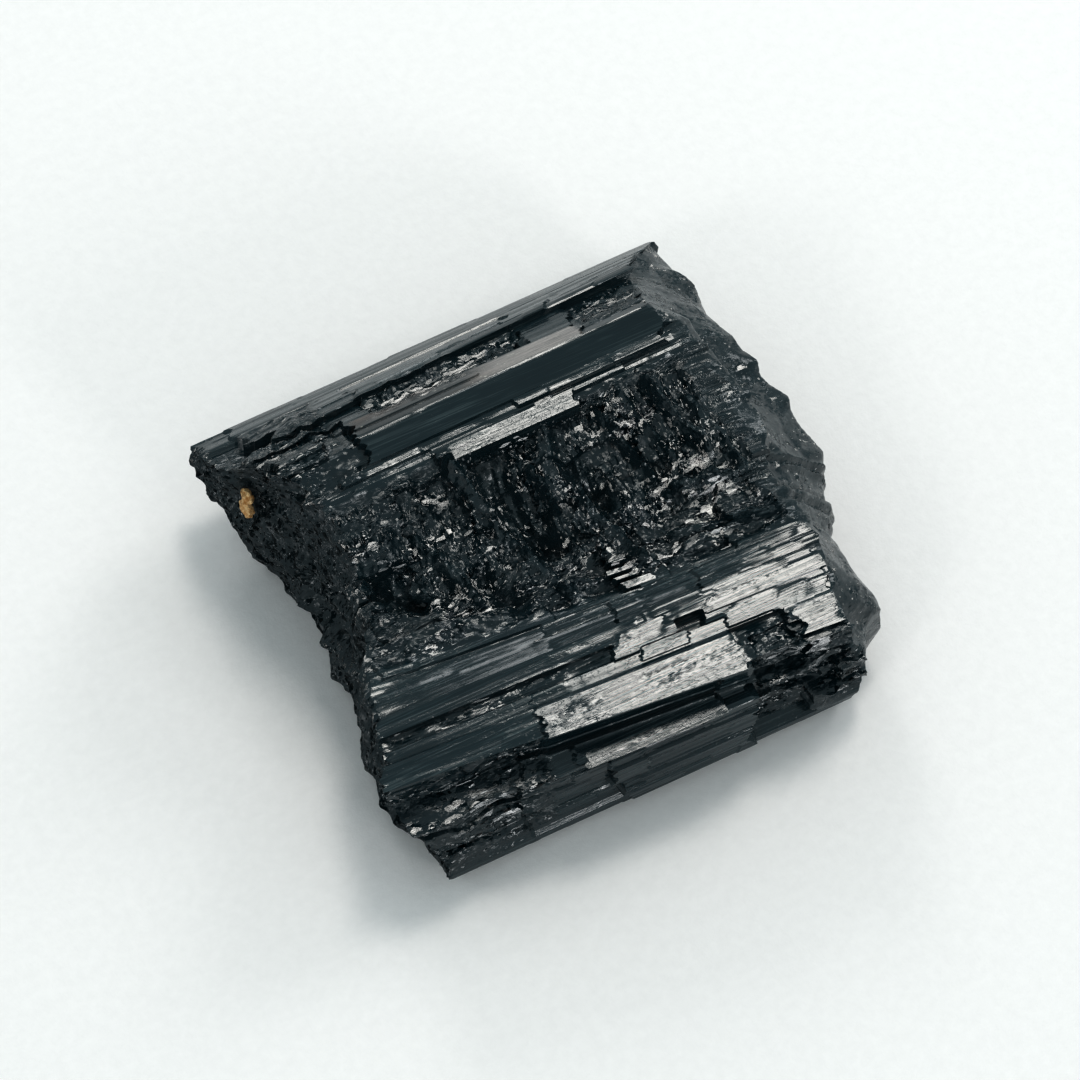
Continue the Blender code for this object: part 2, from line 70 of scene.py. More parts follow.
# The long edges, in order round the crystal: (y, z) at the left end, (y, z) at the right end.
LONG_EDGES = {
    "back_keel": ((21.1, 9.0), (21.9, 9.0)),
    "back_shoulder": ((14.8, 15.0), (17.0, 15.0)),
    "band_top": ((11.7, 18.0), (12.2, 18.0)),
    "crest": ((8.5, 20.0), (10.1, 20.0)),
    "dark_face_foot": ((6.3, 19.0), (7.6, 19.0)),
    "rough_top": ((4.3, 18.5), (4.9, 18.5)),
    "rough_foot": ((-4.9, 15.8), (-9.7, 15.5)),
    "rib_back": ((-12.8, 14.5), (-14.3, 14.5)),
    "rib_groove": ((-15.8, 14.2), (-17.9, 14.2)),
    "rib_front": ((-18.1, 14.0), (-22.3, 13.8)),
    "lower_lath_back": ((-18.6, 11.0), (-22.3, 11.0)),
    "lower_lath_front": ((-21.2, 10.3), (-22.6, 10.3)),
    "front_foot": ((-21.9, 1.5), (-22.0, 1.5)),
    "base_front": ((-20.0, 0.0), (-20.4, 0.0)),
    "base_back": ((12.0, 0.0), (12.5, 0.0)),
    "under_back": ((18.5, 3.5), (19.5, 3.5)),
}

# How far the ends reach, as (y, x) from back to front.
LEFT_RIM = ((21, -23.0), (15, -21.6), (11, -19.4), (8, -17.7), (3, -16.8), (-4, -16.9), (-6, -18.6),
            (-9, -20.2), (-13, -21.6), (-17, -22.9), (-22, -22.4))
LEFT_FOOT = ((22, -23.0), (18.8, -22.3), (14, -21.4), (10, -20.4), (5.5, -19.2), (0.4, -19.0), (-3, -19.5),
             (-6, -20.2), (-9, -21.1), (-13, -20.9), (-17, -20.5), (-22, -19.5))
LEFT_FOOT_HEIGHT = 3.0
RIGHT_RIM = ((22, 21.6), (16.7, 16.8), (10, 15.4), (5.5, 16.1), (-1, 16.6), (-6, 16.9), (-10, 17.7),
             (-14, 18.4), (-17, 17.8), (-21, 17.3), (-22, 17.6))
RIGHT_FOOT = ((22, 21.9), (17, 23.3), (11, 23.4), (8, 24.0), (3, 24.5), (-3.5, 24.5), (-7, 23.5), (-9, 23.0),
              (-10.4, 21.8), (-14, 22.0), (-17, 22.3), (-18.7, 22.2), (-19.4, 20.4), (-22, 19.0))
RIGHT_FOOT_HEIGHT = 8.0
# The height of both upper rims, as (y, z) from front to back, how an end curves from foot to rim, and how far
# it draws back below its foot.
RIM_HEIGHT = ((-22, 10.5), (-17, 14.2), (-5, 15.8), (9, 20.0), (15, 15.0), (22, 9.5))
END_CURVE = 1.3
END_UNDERCUT = 1.2

# The laths: start and end round the section, then the lengths from left to right as (x where it ends, rise).
LATHS = (
    (0.0, 3.1, ((-19.0, -0.25), (24.0, 0.0))),
    (3.1, 3.8, ((-18.6, -0.7), (17.0, -0.3), (24.0, 0.0))),
    (3.8, 7.0, ((-18.7, -0.75), (-9.2, 0.25), (6.0, 0.0), (24.0, 0.2))),
    (7.0, 8.9, ((-17.0, -0.7), (-9.2, 0.15), (9.0, 0.4), (18.0, 0.2), (24.0, -0.3))),
    (8.9, 11.4, ((-20.0, -0.9), (-9.2, -0.35), (5.5, -0.6), (10.2, -0.15), (24.0, -0.5))),
    (11.4, 13.3, ((-11.6, -0.75), (-9.0, -0.1), (4.8, -0.5), (9.6, 0.0), (24.0, -0.45))),
    (13.3, 15.0, ((-18.8, -1.2), (-14.6, -0.15), (-11.8, -0.9), (-0.4, 0.25), (9.4, 0.1), (15.4, -0.3),
                  (24.0, -0.9))),
    (15.0, 16.4, ((-18.8, -1.1), (-14.4, -0.3), (-11.8, -0.8), (9.2, 0.1), (15.4, -0.1), (24.0, -0.8))),
    (16.4, 18.8, ((-12.0, -0.8), (15.4, 0.0), (24.0, -0.7))),
    (18.8, 19.6, ((-14.5, -0.7), (1.5, -0.25), (15.2, 0.12), (24.0, -0.6))),
    (19.6, 20.3, ((-17.0, -0.9), (-6.8, -0.5), (11.0, -0.3), (24.0, -0.8))),
    (20.3, 21.6, ((-17.0, -1.0), (-6.6, -0.55), (6.0, 0.2), (12.0, -0.7), (24.0, -1.0))),
    (21.6, 24.0, ((-17.0, -1.2), (-11.2, -0.7), (-6.4, -1.4), (-4.6, -0.7), (0.6, -1.5), (8.0, -1.1),
                  (24.0, -0.7))),
    (24.0, 27.0, ((-16.6, -1.3), (-11.6, -0.8), (-6.0, -1.6), (-4.2, -0.8), (-0.4, -1.8), (0.5, -0.9),
                  (9.0, -1.5), (24.0, -0.8))),
    (27.0, 30.8, ((-15.9, -1.1), (-12.4, -2.3), (-4.4, -1.5), (2.0, -1.9), (10.5, -1.2), (24.0, -0.6))),
    (30.8, 33.7, ((-17.0, -1.0), (-9.0, -1.6), (2.6, -1.3), (5.4, -0.5), (13.0, -1.3), (24.0, -0.5))),
    (33.7, 36.6, ((-19.0, -1.1), (-4.0, -0.8), (3.4, -1.0), (6.2, -0.5), (12.0, -0.9), (24.0, -0.5))),
    (36.6, 39.6, ((-20.0, -1.2), (1.0, -0.9), (8.4, -0.6), (24.0, -0.35))),
    (39.6, 41.1, ((-21.4, -0.5), (2.4, 0.15), (18.6, 0.3), (24.0, -0.5))),
    (41.1, 42.4, ((-21.6, -0.6), (-1.4, -0.5), (4.2, 0.25), (6.6, -0.9), (18.0, 0.15), (24.0, -0.6))),
    (42.4, 43.6, ((-22.6, -0.4), (-8.6, 0.0), (12.6, -0.1), (17.6, 0.2), (24.0, -0.7))),
    (43.6, 46.8, ((-8.8, 0.1), (8.0, 0.55), (12.8, -0.7), (24.0, 0.25))),
    (46.8, 49.3, ((-16.0, -0.35), (6.0, -0.65), (9.0, -0.25), (14.0, -1.0), (24.0, -0.5))),
    (49.3, 50.7, ((-11.2, -0.5), (-7.0, -0.05), (5.5, 0.35), (8.4, -0.6), (24.0, -1.2))),
    (50.7, 53.2, ((-12.6, -0.6), (-4.9, -0.15), (8.4, 0.1), (17.0, -1.5), (24.0, -0.8))),
    (53.2, 56.0, ((-12.4, -0.2), (-4.4, -0.5), (8.6, 0.35), (16.6, -1.7), (24.0, -0.4))),
    (56.0, 59.1, ((-12.0, 0.2), (-3.4, -0.4), (8.2, 0.6), (14.0, -1.2), (24.0, 0.1))),
    (93.6, 96.4, ((-12.0, 0.0), (3.0, -0.5), (14.0, 0.1), (24.0, -0.4))),
    (96.4, 98.8, ((-17.0, -0.5), (-2.0, 0.3), (9.0, -0.2), (24.0, 0.2))),
    (98.8, 101.2, ((-8.0, 0.2), (6.0, -0.4), (24.0, 0.0))),
    (101.2, 104.0, ((-14.0, -0.4), (1.0, 0.25), (13.0, -0.3), (24.0, 0.0))),
    (104.0, 107.1, ((-6.0, 0.0), (11.0, -0.3), (24.0, 0.05))),
)

# Every patch of the side below starts with its start and end round the section and its start and end along X.
# Fractured patches, with their depth, and how wide their faded rims are.
ROUGH_PATCHES = (
    (8.4, 14.6, -10.0, -0.6, 0.5),
    (8.9, 13.2, -9.2, 5.2, 0.45),
    (8.9, 15.0, 9.6, 24.0, 0.45),
    (3.8, 20.0, -24.0, -12.2, 0.5),
    (20.4, 36.0, -20.0, 18.0, 1.0),
    (41.0, 42.5, -21.0, -1.5, 0.35),
    (44.0, 59.1, 8.6, 24.0, 0.7),
    (46.8, 59.1, -24.0, -9.0, 0.6),
    (94.0, 104.0, -24.0, -10.0, 0.5),
    (94.0, 102.0, 8.0, 24.0, 0.5),
)
PATCH_FADE = 0.8

# The hollow between the crest and the rib: how deep it is, round the section, and along X as a share of that.
HOLLOW_ROUND = ((21.6, 0.0), (24.0, 0.5), (28.0, 1.1), (33.0, 1.6), (36.0, 1.2), (39.6, 0.0))
HOLLOW_ALONG = ((-20.0, 0.3), (-16.0, 0.8), (-8.0, 1.0), (4.0, 1.0), (10.0, 0.7), (16.0, 0.2), (22.0, 0.0))

# Ridges and grooves of the fractured hollow: from (round, x) to (round, x), half width, height.
SIDE_RIDGES = (
    (21.8, -6.1, 28.5, -3.8, 0.9, 1.5),
    (24.0, 0.0, 27.4, 0.8, 0.5, 1.0),
    (22.0, 7.2, 28.0, 9.2, 0.6, 1.2),
    (22.0, 9.6, 27.5, 11.2, 0.6, 1.0),
    (22.0, 11.9, 28.5, 13.9, 0.7, 1.2),
    (24.0, 14.6, 34.0, 17.0, 0.7, 0.9),
    (28.0, 3.0, 34.0, 5.2, 0.8, 1.2),
    (25.5, -10.8, 32.5, -8.2, 0.8, 1.0),
    (30.0, -3.0, 35.5, -1.0, 0.9, 0.9),
    (29.5, 9.6, 30.5, 15.5, 0.6, 0.8),
    (32.8, 8.6, 34.0, 16.0, 0.7, 0.9),
    (36.5, -8.0, 37.5, 2.0, 0.8, 0.7),
    (27.5, -15.5, 30.5, -12.8, 1.9, -1.4),
    (23.6, -3.0, 29.5, -1.0, 1.7, -1.7),
    (23.5, 3.2, 28.5, 5.0, 1.5, -1.3),
    (31.0, -7.0, 34.0, -5.5, 1.6, -1.0),
)
# How far a ridge or groove takes the hackly grain away from its flanks.
RIDGE_CALM = 0.75
# The same on the broken ends, from (y, z) to (y, z).
LEFT_RIDGES = (
    (11.9, 12.8, 11.5, 12.0, 2.6, -1.9),
    (6.5, 9.0, 4.5, 6.0, 1.1, 0.9),
    (4.5, 6.0, 0.5, 6.0, 1.1, 0.9),
    (0.5, 6.0, -4.0, 7.6, 1.1, 0.9),
    (2.5, 10.0, -1.5, 11.5, 1.4, -0.9),
)
RIGHT_RIDGES = (
    (8.2, 18.0, 5.7, 17.2, 0.8, 0.6),
    (5.7, 17.2, 1.0, 15.2, 0.9, 0.7),
    (1.0, 15.2, -4.8, 15.4, 0.9, 0.6),
    (-4.8, 15.4, -11.0, 13.6, 0.8, 0.5),
    (12.2, 12.7, 5.3, 11.9, 1.3, 0.7),
    (5.3, 11.9, 1.9, 10.3, 1.3, 0.8),
    (10.0, 15.2, 3.0, 13.4, 1.4, -1.2),
    (1.4, 10.3, -3.3, 8.5, 2.0, 0.9),
    (17.5, 9.5, 14.0, 5.0, 1.4, 0.8),
)
# The fluted stretch of the right end along y, its fade, and the depth and width of its flutes.
FLUTED_END = (-9.6, -4.2)
FLUTE_FADE = 0.5
FLUTE_DEPTH = 0.9
FLUTE_WIDTH = 0.42

# Clean faces of single laths: patch, rise, and how much less steeply the face falls towards the front than
# the plain section does.
PLATES = (
    (20.2, 21.7, -5.5, 6.1, 0.2, 0.12),
    (33.4, 33.8, 2.2, 3.9, -1.6, 0.09),
    (34.2, 34.7, 2.0, 4.3, -1.65, 0.09),
    (35.0, 35.4, 2.4, 4.4, -1.6, 0.10),
    (35.7, 36.4, 2.2, 5.0, -1.5, 0.09),
    (43.7, 46.9, -9.0, 8.2, 0.5, 0.03),
    (43.6, 45.8, 13.6, 17.8, 0.3, 0.0),
    (40.5, 41.7, 7.0, 18.2, 0.32, 0.01),
    (41.9, 43.3, 7.9, 15.6, 0.18, -0.02),
    (40.4, 41.9, -0.6, 3.4, 0.2, 0.0),
    (42.2, 43.3, 0.4, 4.6, 0.05, 0.0),
    (49.3, 50.8, -7.0, 5.4, 0.45, 0.80),
)
# How fractured a clean face looks.
PLATE_BROKEN = 0.05
# Floors that lean: patch, and rise per millimetre round the section.
LEANING_FLOORS = (
    (8.9, 13.2, -9.2, 5.2, -0.22),
    (44.8, 52.0, 9.3, 18.0, 0.12),
    (43.6, 46.8, -24.0, -9.0, -0.13),
    (36.6, 39.6, -24.0, -5.0, 0.10),
    (39.6, 41.1, -24.0, 1.6, -0.09),
    (42.4, 43.6, -24.0, -6.0, -0.09),
)
# Where the fracture glitters: middle round the section and along X, half sizes, strength.
GLINTS = (
    (11.2, -4.5, 3.9, 6.2, 1.0),
    (34.4, 3.4, 2.6, 1.8, 1.0),
    (11.2, -1.8, 2.6, 7.8, 1.0),
    (12.5, 12.8, 3.0, 3.2, 0.7),
    (30.0, 12.0, 3.4, 5.0, 1.0),
    (34.0, 9.5, 1.0, 6.5, 0.8),
    (23.4, 8.6, 2.6, 3.0, 0.5),
    (26.0, -4.0, 3.4, 1.3, 0.7),
    (23.5, -9.2, 2.2, 2.6, 0.6),
    (31.5, -10.0, 2.2, 4.5, 0.5),
    (33.5, -13.5, 1.0, 4.0, 0.6),
    (41.0, -11.0, 0.8, 10.0, 1.0),
    (40.2, 11.0, 0.9, 7.5, 1.0),
    (50.0, 13.5, 6.5, 4.8, 1.0),
    (52.0, -15.0, 5.0, 5.0, 0.8),
    (56.5, -10.5, 1.0, 3.5, 0.6),
)
# How steeply the glitter rises from a patch's rim to its middle.
GLINT_RISE = 1.6

# Smooth long faces: patch, and how smooth it is.
CALM_FACES = (
    (0.0, 8.9, -19.0, 18.0, 0.4),
    (16.3, 18.9, -12.5, 15.6, 1.0),
    (13.3, 16.4, -11.8, 9.2, 1.0),
    (42.4, 47.0, -24.0, 24.0, 1.0),
    (38.0, 41.2, -22.0, 3.0, 1.0),
)
# How much of the small laths' relief is left on the smoothest of them.
CALM_SHARE = 0.3

# The coated slat below the crest: its patch, the width of its faded rim, and where along X its brown coat
# turns into the pale one.
COATED = (13.3, 16.4, -11.8, 9.2)
COAT_FADE = 0.25
PALE_FROM = (-2.5, 1.5)

# Chips of the fractures, from coarse to fine: size across the crystal, and how deep each kind bites.
CHIP_SIZES = (3.4, 1.7, 0.85, 0.45)
CHIP_DEPTHS = (1.9, 1.1, 0.42, 0.14)
CHIP_STRETCH = 1.5
# The chips that run across the laths: how they stretch, their size, and their share from place to place.
CROSS_STRETCH = 0.5
CROSS_SIZE = 0.7
CROSS_SHARE = ((8.0, 0.0), (9.0, 1.0), (13.4, 1.0), (14.6, 0.0), (19.5, 0.0), (21.5, 1.0), (31.0, 1.0),
               (34.0, 0.0))
END_CHIP_SIZES = (5.0, 2.2, 1.1, 0.55)
END_CHIP_DEPTHS = (1.3, 0.8, 0.5, 0.28)
LEFT_CHIP_SHARES = (1.0, 1.1, 0.8, 0.5)
RIGHT_CHIP_SHARES = (0.9, 0.36, 0.14, 0.06)
# How chips differ in depth, how hollow they are, how far they lean, and their mean height.
CHIP_VARIETY = 0.45
CHIP_BOWL = 0.75
CHIP_LEAN = 0.9
CHIP_MEAN = 0.4
# How far single laths jut out at the crystal's ends.
LATH_JUT = 0.9
# How broken lath ends wander: the coarse and the fine step, the fine one's share, and how far they wander on
# laths, clean faces, small laths and the crystal's ends.
WANDER_STEPS = (0.9, 0.33)
FINE_WANDER = 0.45
LATH_WANDER = 1.1
PLATE_WANDER = 0.9
SMALL_WANDER = 0.7
JUT_WANDER = 0.5
SEED = 41

# The tan grain: how far its visible surface spreads over the solid's, the depth and the size of its lumps,
# and the colour of its dark specks.
GRAIN_SCALE = (1.0, 1.3, 1.1)
GRAIN_RELIEF = 0.28
GRAIN_LUMP = 0.33
GRAIN_SPECKS = (0.12, 0.055, 0.02)

# Small laths that cover every face: width, length, rise, and the tilt of their tops.
SMALL_LATHS = ((1.35, 16.0, 0.16, 0.05), (0.62, 11.0, 0.07, 0.06), (0.3, 8.0, 0.03, 0.08))
# Their narrowest and widest as shares of that width, the shortest as a share of that length, and what chance
# adds to it.
WIDTH_SHARES = (0.45, 1.7)
LENGTH_SHARES = (0.35, 1.6)
# How much more the small laths stand out on the front face.
FRONT_GAIN = ((50.8, 1.0), (52.0, 2.4), (58.4, 2.4), (59.1, 1.0))

# How hackly the left and the right end are, and how they glitter.
END_BROKEN = (1.0, 0.42)
END_GLINT = (0.22, 0.0)

# The mesh: columns round the section, wider at the back and on the base, rows along X, and points on the
# ends.
SIDE_COLUMN = 0.13
BACK_COARSENESS = 1.6
BASE_COLUMNS = 53
SIDE_ROWS = 165
END_SPACING = 0.21
END_JITTER = 0.3
RIM_CLEARANCE = 0.55
MOST_TRIANGLES = 196000
SHARP_ANGLE = 20.0
# The values that the crystal's mesh carries for its material.
ATTRIBUTES = ("broken", "stain", "pale", "calm", "glint", "cross")
# From the depth of the fracture to its look, and the look from which faces are shaded flat.
BROKEN_GAIN = 1.6
FLAT_FROM = 0.4

# The noise patterns of the crystal: stretch along each axis, scale and detail.
PATTERNS = {
    "ribs": ((0.012, 1.0, 1.0), 5200.0, 2.0),
    "fine_ribs": ((0.02, 1.0, 1.0), 13000.0, 1.0),
    "pits": ((0.6, 1.0, 1.0), 3800.0, 2.0),
    "cloud": ((0.35, 1.0, 1.0), 260.0, 3.0),
    "clusters": ((0.35, 1.0, 1.0), 620.0, 3.0),
}
EVEN = (1.0, 1.0, 1.0)
# The depth and the strength of the bumps on the crystal, the grain and the paper.
RIB_BUMPS = (0.00003, 0.35)
GRAIN_BUMPS = (0.00012, 0.7)
PAPER_BUMPS = (0.0001, 0.45)
# The inputs and the output of a Mix node for each kind of value.
MIX_SOCKETS = {"FLOAT": (2, 3, 0), "VECTOR": (4, 5, 1), "RGBA": (6, 7, 2)}
# Facets of the fractures, in metres: size, and how far they lean at random.
FACETS = ((0.0009, 0.7), (0.0004, 0.9))
SPECKS = (0.00017, 0.8)
TERRACES = (0.00036, 0.16)
ALONG_STRETCH = (0.5, 1.0, 1.0)
ACROSS_STRETCH = (1.15, 0.5, 0.75)
TERRACE_STRETCH = (0.45, 1.0, 1.0)
# The common direction of the small parallel terraces in the fractures, and of those on the front face.
TERRACE_NORMAL = (0.03, -0.10, 0.99)
FRONT_TERRACE_NORMAL = (0.015, -0.70, 0.71)
# How the facets of the left end lean, up and to the front, and where along X that starts and is full.
LEFT_END_LEAN = (0.25, -0.4, 0.75)
LEFT_END = (-15.5, -17.0)

CAMERA_TARGET = (-ORIGIN_SHIFT[0], -ORIGIN_SHIFT[1], 8.0)
LIGHT_TARGET = (0.0, 0.0, 0.01)
ROOM_COLOUR = (0.84, 0.97, 1.0)
WHITE = (1.0, 1.0, 1.0)
# Each softbox: where it stands, its size, its share of the key light's power, and its colour.
SOFTBOXES = {
    "key_softbox": ((0.272, 0.232, 0.85), (0.19, 0.22), 1.28, (1.0, 0.968, 0.92)),
    "right_softbox": ((0.90, 0.25, 0.62), (0.36, 0.36), 1.25, WHITE),
    "back_softbox": ((0.15, 1.00, 0.62), (0.34, 0.34), 1.2, WHITE),
    "left_softbox": ((-0.65, -0.35, 0.55), (0.16, 0.16), 0.42, WHITE),
    "front_softbox": ((0.25, -0.85, 0.42), (0.18, 0.18), 0.8, WHITE),
}


def corner_distances():
    """Distance round the section of each long edge, measured at mid length, closing back on the first."""
    middle = np.array([(np.array(left) + np.array(right)) / 2 for left, right in LONG_EDGES.values()])
    steps = np.linalg.norm(np.roll(middle, -1, axis=0) - middle, axis=1)
    return np.concatenate([[0.0], np.cumsum(steps)])


CORNERS = corner_distances()
ROUND = float(CORNERS[-1])
CORNER = dict(zip(LONG_EDGES, CORNERS))


def hashed(*whole, seed):
    """A repeatable value from 0 to 1 for each set of whole numbers."""
    stirred = np.full(np.broadcast(*whole).shape, seed * 7919 + 17, np.int64)
    for number, prime in zip(whole, (73856093, 19349663, 83492791)):
        stirred = (stirred ^ (np.asarray(number, np.int64) * prime)) & 0x7FFFFFFF
        stirred = (stirred * 1103515245 + 12345) & 0x7FFFFFFF
        stirred = stirred ^ (stirred >> 13)
    return (stirred % 100003) / 100003.0


def chips(across, along, size, seed):
    """Shell-like chips from 0 (deepest) to about 1, meeting in sharp crests, as a brittle mineral breaks."""
    p, q = across / size, along / size
    home_p, home_q = np.floor(p), np.floor(q)
    height = np.full(np.shape(p), 9.0)
    for step_p in (-1, 0, 1):
        for step_q in (-1, 0, 1):
            cell_p, cell_q = home_p + step_p, home_q + step_q
            gap_p = p - cell_p - hashed(cell_p, cell_q, seed=seed)
            gap_q = q - cell_q - hashed(cell_p, cell_q, seed=seed + 1)
            tilt_p = hashed(cell_p, cell_q, seed=seed + 2) - 0.5
            tilt_q = hashed(cell_p, cell_q, seed=seed + 3) - 0.5
            depth = CHIP_VARIETY * hashed(cell_p, cell_q, seed=seed + 4)
            bowl = depth + CHIP_BOWL * (gap_p ** 2 + gap_q ** 2)
            height = np.minimum(height, bowl + CHIP_LEAN * (tilt_p * gap_p + tilt_q * gap_q))
    return height


def section_point(around, x):
    """The plain section's (y, z) at a distance round it, with the long edges straight from end to end."""
    edges = list(LONG_EDGES.values())
    left = np.array([edge[0] for edge in edges] + [edges[0][0]])
    right = np.array([edge[1] for edge in edges] + [edges[0][1]])
    share = (x + HALF_LENGTH) / (2 * HALF_LENGTH)
    points = []
    for axis in (0, 1):
        at_left = np.interp(around, CORNERS, left[:, axis])
        at_right = np.interp(around, CORNERS, right[:, axis])
        points.append(at_left + (at_right - at_left) * share)
    return points


def outward(y, z):
    """The direction in which a lath rises: away from a flat spine inside the crystal."""
    spine_y = np.clip(y, -SPINE_HALF_WIDTH, SPINE_HALF_WIDTH)
    away_y, away_z = y - spine_y, z - SPINE_HEIGHT
    size = np.hypot(away_y, away_z)
    return away_y / size, away_z / size


def wandering(along, step, seed):
    """A value from -0.5 to 0.5 that wanders in straight lines from one step to the next."""
    place = along / step
    before = np.floor(place)
    share = place - before
    return hashed(before, seed=seed) * (1 - share) + hashed(before + 1, seed=seed) * share - 0.5


def ragged(around, seed, depth):
    """How far a broken lath end wanders from a straight cut, from one point across it to the next."""
    coarse, fine = WANDER_STEPS
    return depth * (wandering(around, coarse, seed) + FINE_WANDER * wandering(around, fine, seed + 1))


def lath_rise(around, x):
    """How far the lath at this place stands above the plain section, or below it where it is broken."""
    rise = np.zeros(np.shape(around))
    cut = x + ragged(around, SEED + 500, LATH_WANDER)
    for start, end, lengths in LATHS:
        inside = (around >= start) & (around < end)
        ends = np.array([length[0] for length in lengths])
        rises = np.array([length[1] for length in lengths])
        place = np.minimum(np.searchsorted(ends, cut), len(lengths) - 1)
        rise = np.where(inside, rises[place], rise)
    return rise


def curve(places, table):
    """A value read from a table of (place, value), straight from one entry to the next."""
    return np.interp(places, [place for place, _ in table], [value for _, value in table])


def hollow(around, x):
    """Depth of the hollow between the crest and the rib."""
    return curve(around, HOLLOW_ROUND) * curve(x, HOLLOW_ALONG)


def within(around, x, start, end, left, right):
    """Whether each place lies in a patch of the side."""
    return (around >= start) & (around < end) & (x > left) & (x < right)


def faded(around, x, start, end, left, right, fade):
    """0 outside a patch of the side, rising over its faded rim to 1."""
    inside = np.minimum.reduce([around - start, end - around, x - left, right - x])
    return np.clip(inside / fade, 0, 1)


def small_laths(around, x):
    """The small laths of every size, each with its own width, lengths, rise and tilt."""
    total = np.zeros(np.shape(around))
    for number, (width, length, rise, tilt) in enumerate(SMALL_LATHS):
        seed = SEED + 600 + 20 * number
        random = np.random.default_rng(seed)
        widths = width * random.uniform(*WIDTH_SHARES, int(ROUND / width * 1.5))
        edges = np.concatenate([[0.0], np.cumsum(widths)])
        strip = np.searchsorted(edges, around, side="right")
        middle = (edges[strip] + edges[strip - 1]) / 2
        own_length = length * (LENGTH_SHARES[0] + LENGTH_SHARES[1] * hashed(strip, seed=seed + 1) ** 2)
        shift = own_length * 7 * hashed(strip, seed=seed + 2)
        piece = np.floor((x + shift + ragged(around, seed + 3, SMALL_WANDER)) / own_length)
        total += rise * (hashed(strip, piece, seed=seed + 4) - 0.6)
        total += tilt * (hashed(strip, piece, seed=seed + 5) - 0.5) * (around - middle)
    return total


def roughness_depth(around, x):
    """Depth of the fracture at this place: 0 on the smooth faces."""
    depth = np.zeros(np.shape(around))
    for *patch, deepest in ROUGH_PATCHES:
        depth = np.maximum(depth, deepest * faded(around, x, *patch, PATCH_FADE))
    return depth


def ridges(p, q, table):
    """Height of sharp ridges, or depth of grooves, each along a straight line from one place to another."""
    total = np.zeros(np.shape(p))
    for start_p, start_q, end_p, end_q, half_width, height in table:
        run_p, run_q = end_p - start_p, end_q - start_q
        share = np.clip(((p - start_p) * run_p + (q - start_q) * run_q) / (run_p ** 2 + run_q ** 2), 0, 1)
        gap = np.hypot(p - start_p - run_p * share, q - start_q - run_q * share)
        total += height * np.clip(1 - gap / half_width, 0, 1)
    return total


def fracture(around, x):
    """The chipped surface of the rough patches, about 0 on average: its chips run across the laths beside and
    below the crest, and along them elsewhere."""
    cross = curve(around, CROSS_SHARE)
    relief = np.zeros(np.shape(around))
    for number, (size, depth) in enumerate(zip(CHIP_SIZES, CHIP_DEPTHS)):
        lengthwise = chips(around, x / CHIP_STRETCH, size, SEED + 10 * number)
        crosswise = chips(around * CROSS_STRETCH, x, size * CROSS_SIZE, SEED + 10 * number + 5)
        relief += depth * (lengthwise * (1 - cross) + crosswise * cross - CHIP_MEAN)
    return relief * roughness_depth(around, x)


def glitter(around, x):
    """1 in the middle of a glittering patch, 0 outside them."""
    strength = np.zeros(np.shape(around))
    for middle, along, half_around, half_along, most in GLINTS:
        gap = np.hypot((around - middle) / half_around, (x - along) / half_along)
        strength = np.maximum(strength, most * np.clip(GLINT_RISE * (1 - gap), 0, 1))
    return strength


def calmness(around, x):
    """1 on the smoothest long faces, 0 on the plain ones."""
    calm = np.zeros(np.shape(around))
    for *patch, smooth in CALM_FACES:
        calm = np.maximum(calm, smooth * within(around, x, *patch))
    return calm


def leaning_floors(around, x):
    """How far the leaning floors rise or fall."""
    rise = np.zeros(np.shape(around))
    for start, end, left, right, lean in LEANING_FLOORS:
        rise += within(around, x, start, end, left, right) * lean * (around - (start + end) / 2)
    return rise


def plates(around, x, rise):
    """The rise with the clean lath faces laid over it, and 1 where they are."""
    place = x + ragged(around, SEED + 700, PLATE_WANDER)
    covered = np.zeros(np.shape(around))
    for start, end, left, right, height, ease in PLATES:
        inside = within(around, place, start, end, left, right)
        rise = np.where(inside, height + ease * (around - (start + end) / 2), rise)
        covered = np.where(inside, 1.0, covered)
    return rise, covered


def end_reach(y, z, rim, foot, foot_height, ridge_table, chip_shares, seed):
    """How far along X an end reaches: from its foot to its upper rim, with the chips of the fracture."""
    x_rim, x_foot = curve(y, rim[::-1]), curve(y, foot[::-1])
    share = np.clip((z - foot_height) / np.maximum(curve(y, RIM_HEIGHT) - foot_height, 1.0), 0, 1)
    reach = x_foot + (x_rim - x_foot) * share ** END_CURVE
    side = 1.0 if foot[0][1] > 0 else -1.0
    under = np.clip((foot_height - z) / foot_height, 0, 1)
    reach = reach - side * END_UNDERCUT * under ** 2
    for number, (size, depth) in enumerate(zip(END_CHIP_SIZES, END_CHIP_DEPTHS)):
        chip = chips(y, z, size, seed + 20 * number)
        reach = reach + side * depth * chip_shares[number] * (chip - CHIP_MEAN)
    return reach + side * ridges(y, z, ridge_table)


def left_end(y, z):
    """How far along X the oblique left end reaches."""
    return end_reach(y, z, LEFT_RIM, LEFT_FOOT, LEFT_FOOT_HEIGHT, LEFT_RIDGES, LEFT_CHIP_SHARES, SEED + 100)


def right_end(y, z):
    """How far along X the right end reaches, with its fluted stretch."""
    reach = end_reach(y, z, RIGHT_RIM, RIGHT_FOOT, RIGHT_FOOT_HEIGHT, RIGHT_RIDGES, RIGHT_CHIP_SHARES,
                      SEED + 200)
    fluted = np.clip(np.minimum(y - FLUTED_END[0], FLUTED_END[1] - y) / FLUTE_FADE, 0, 1)
    return reach + fluted * FLUTE_DEPTH * wandering(y, FLUTE_WIDTH, SEED + 900)


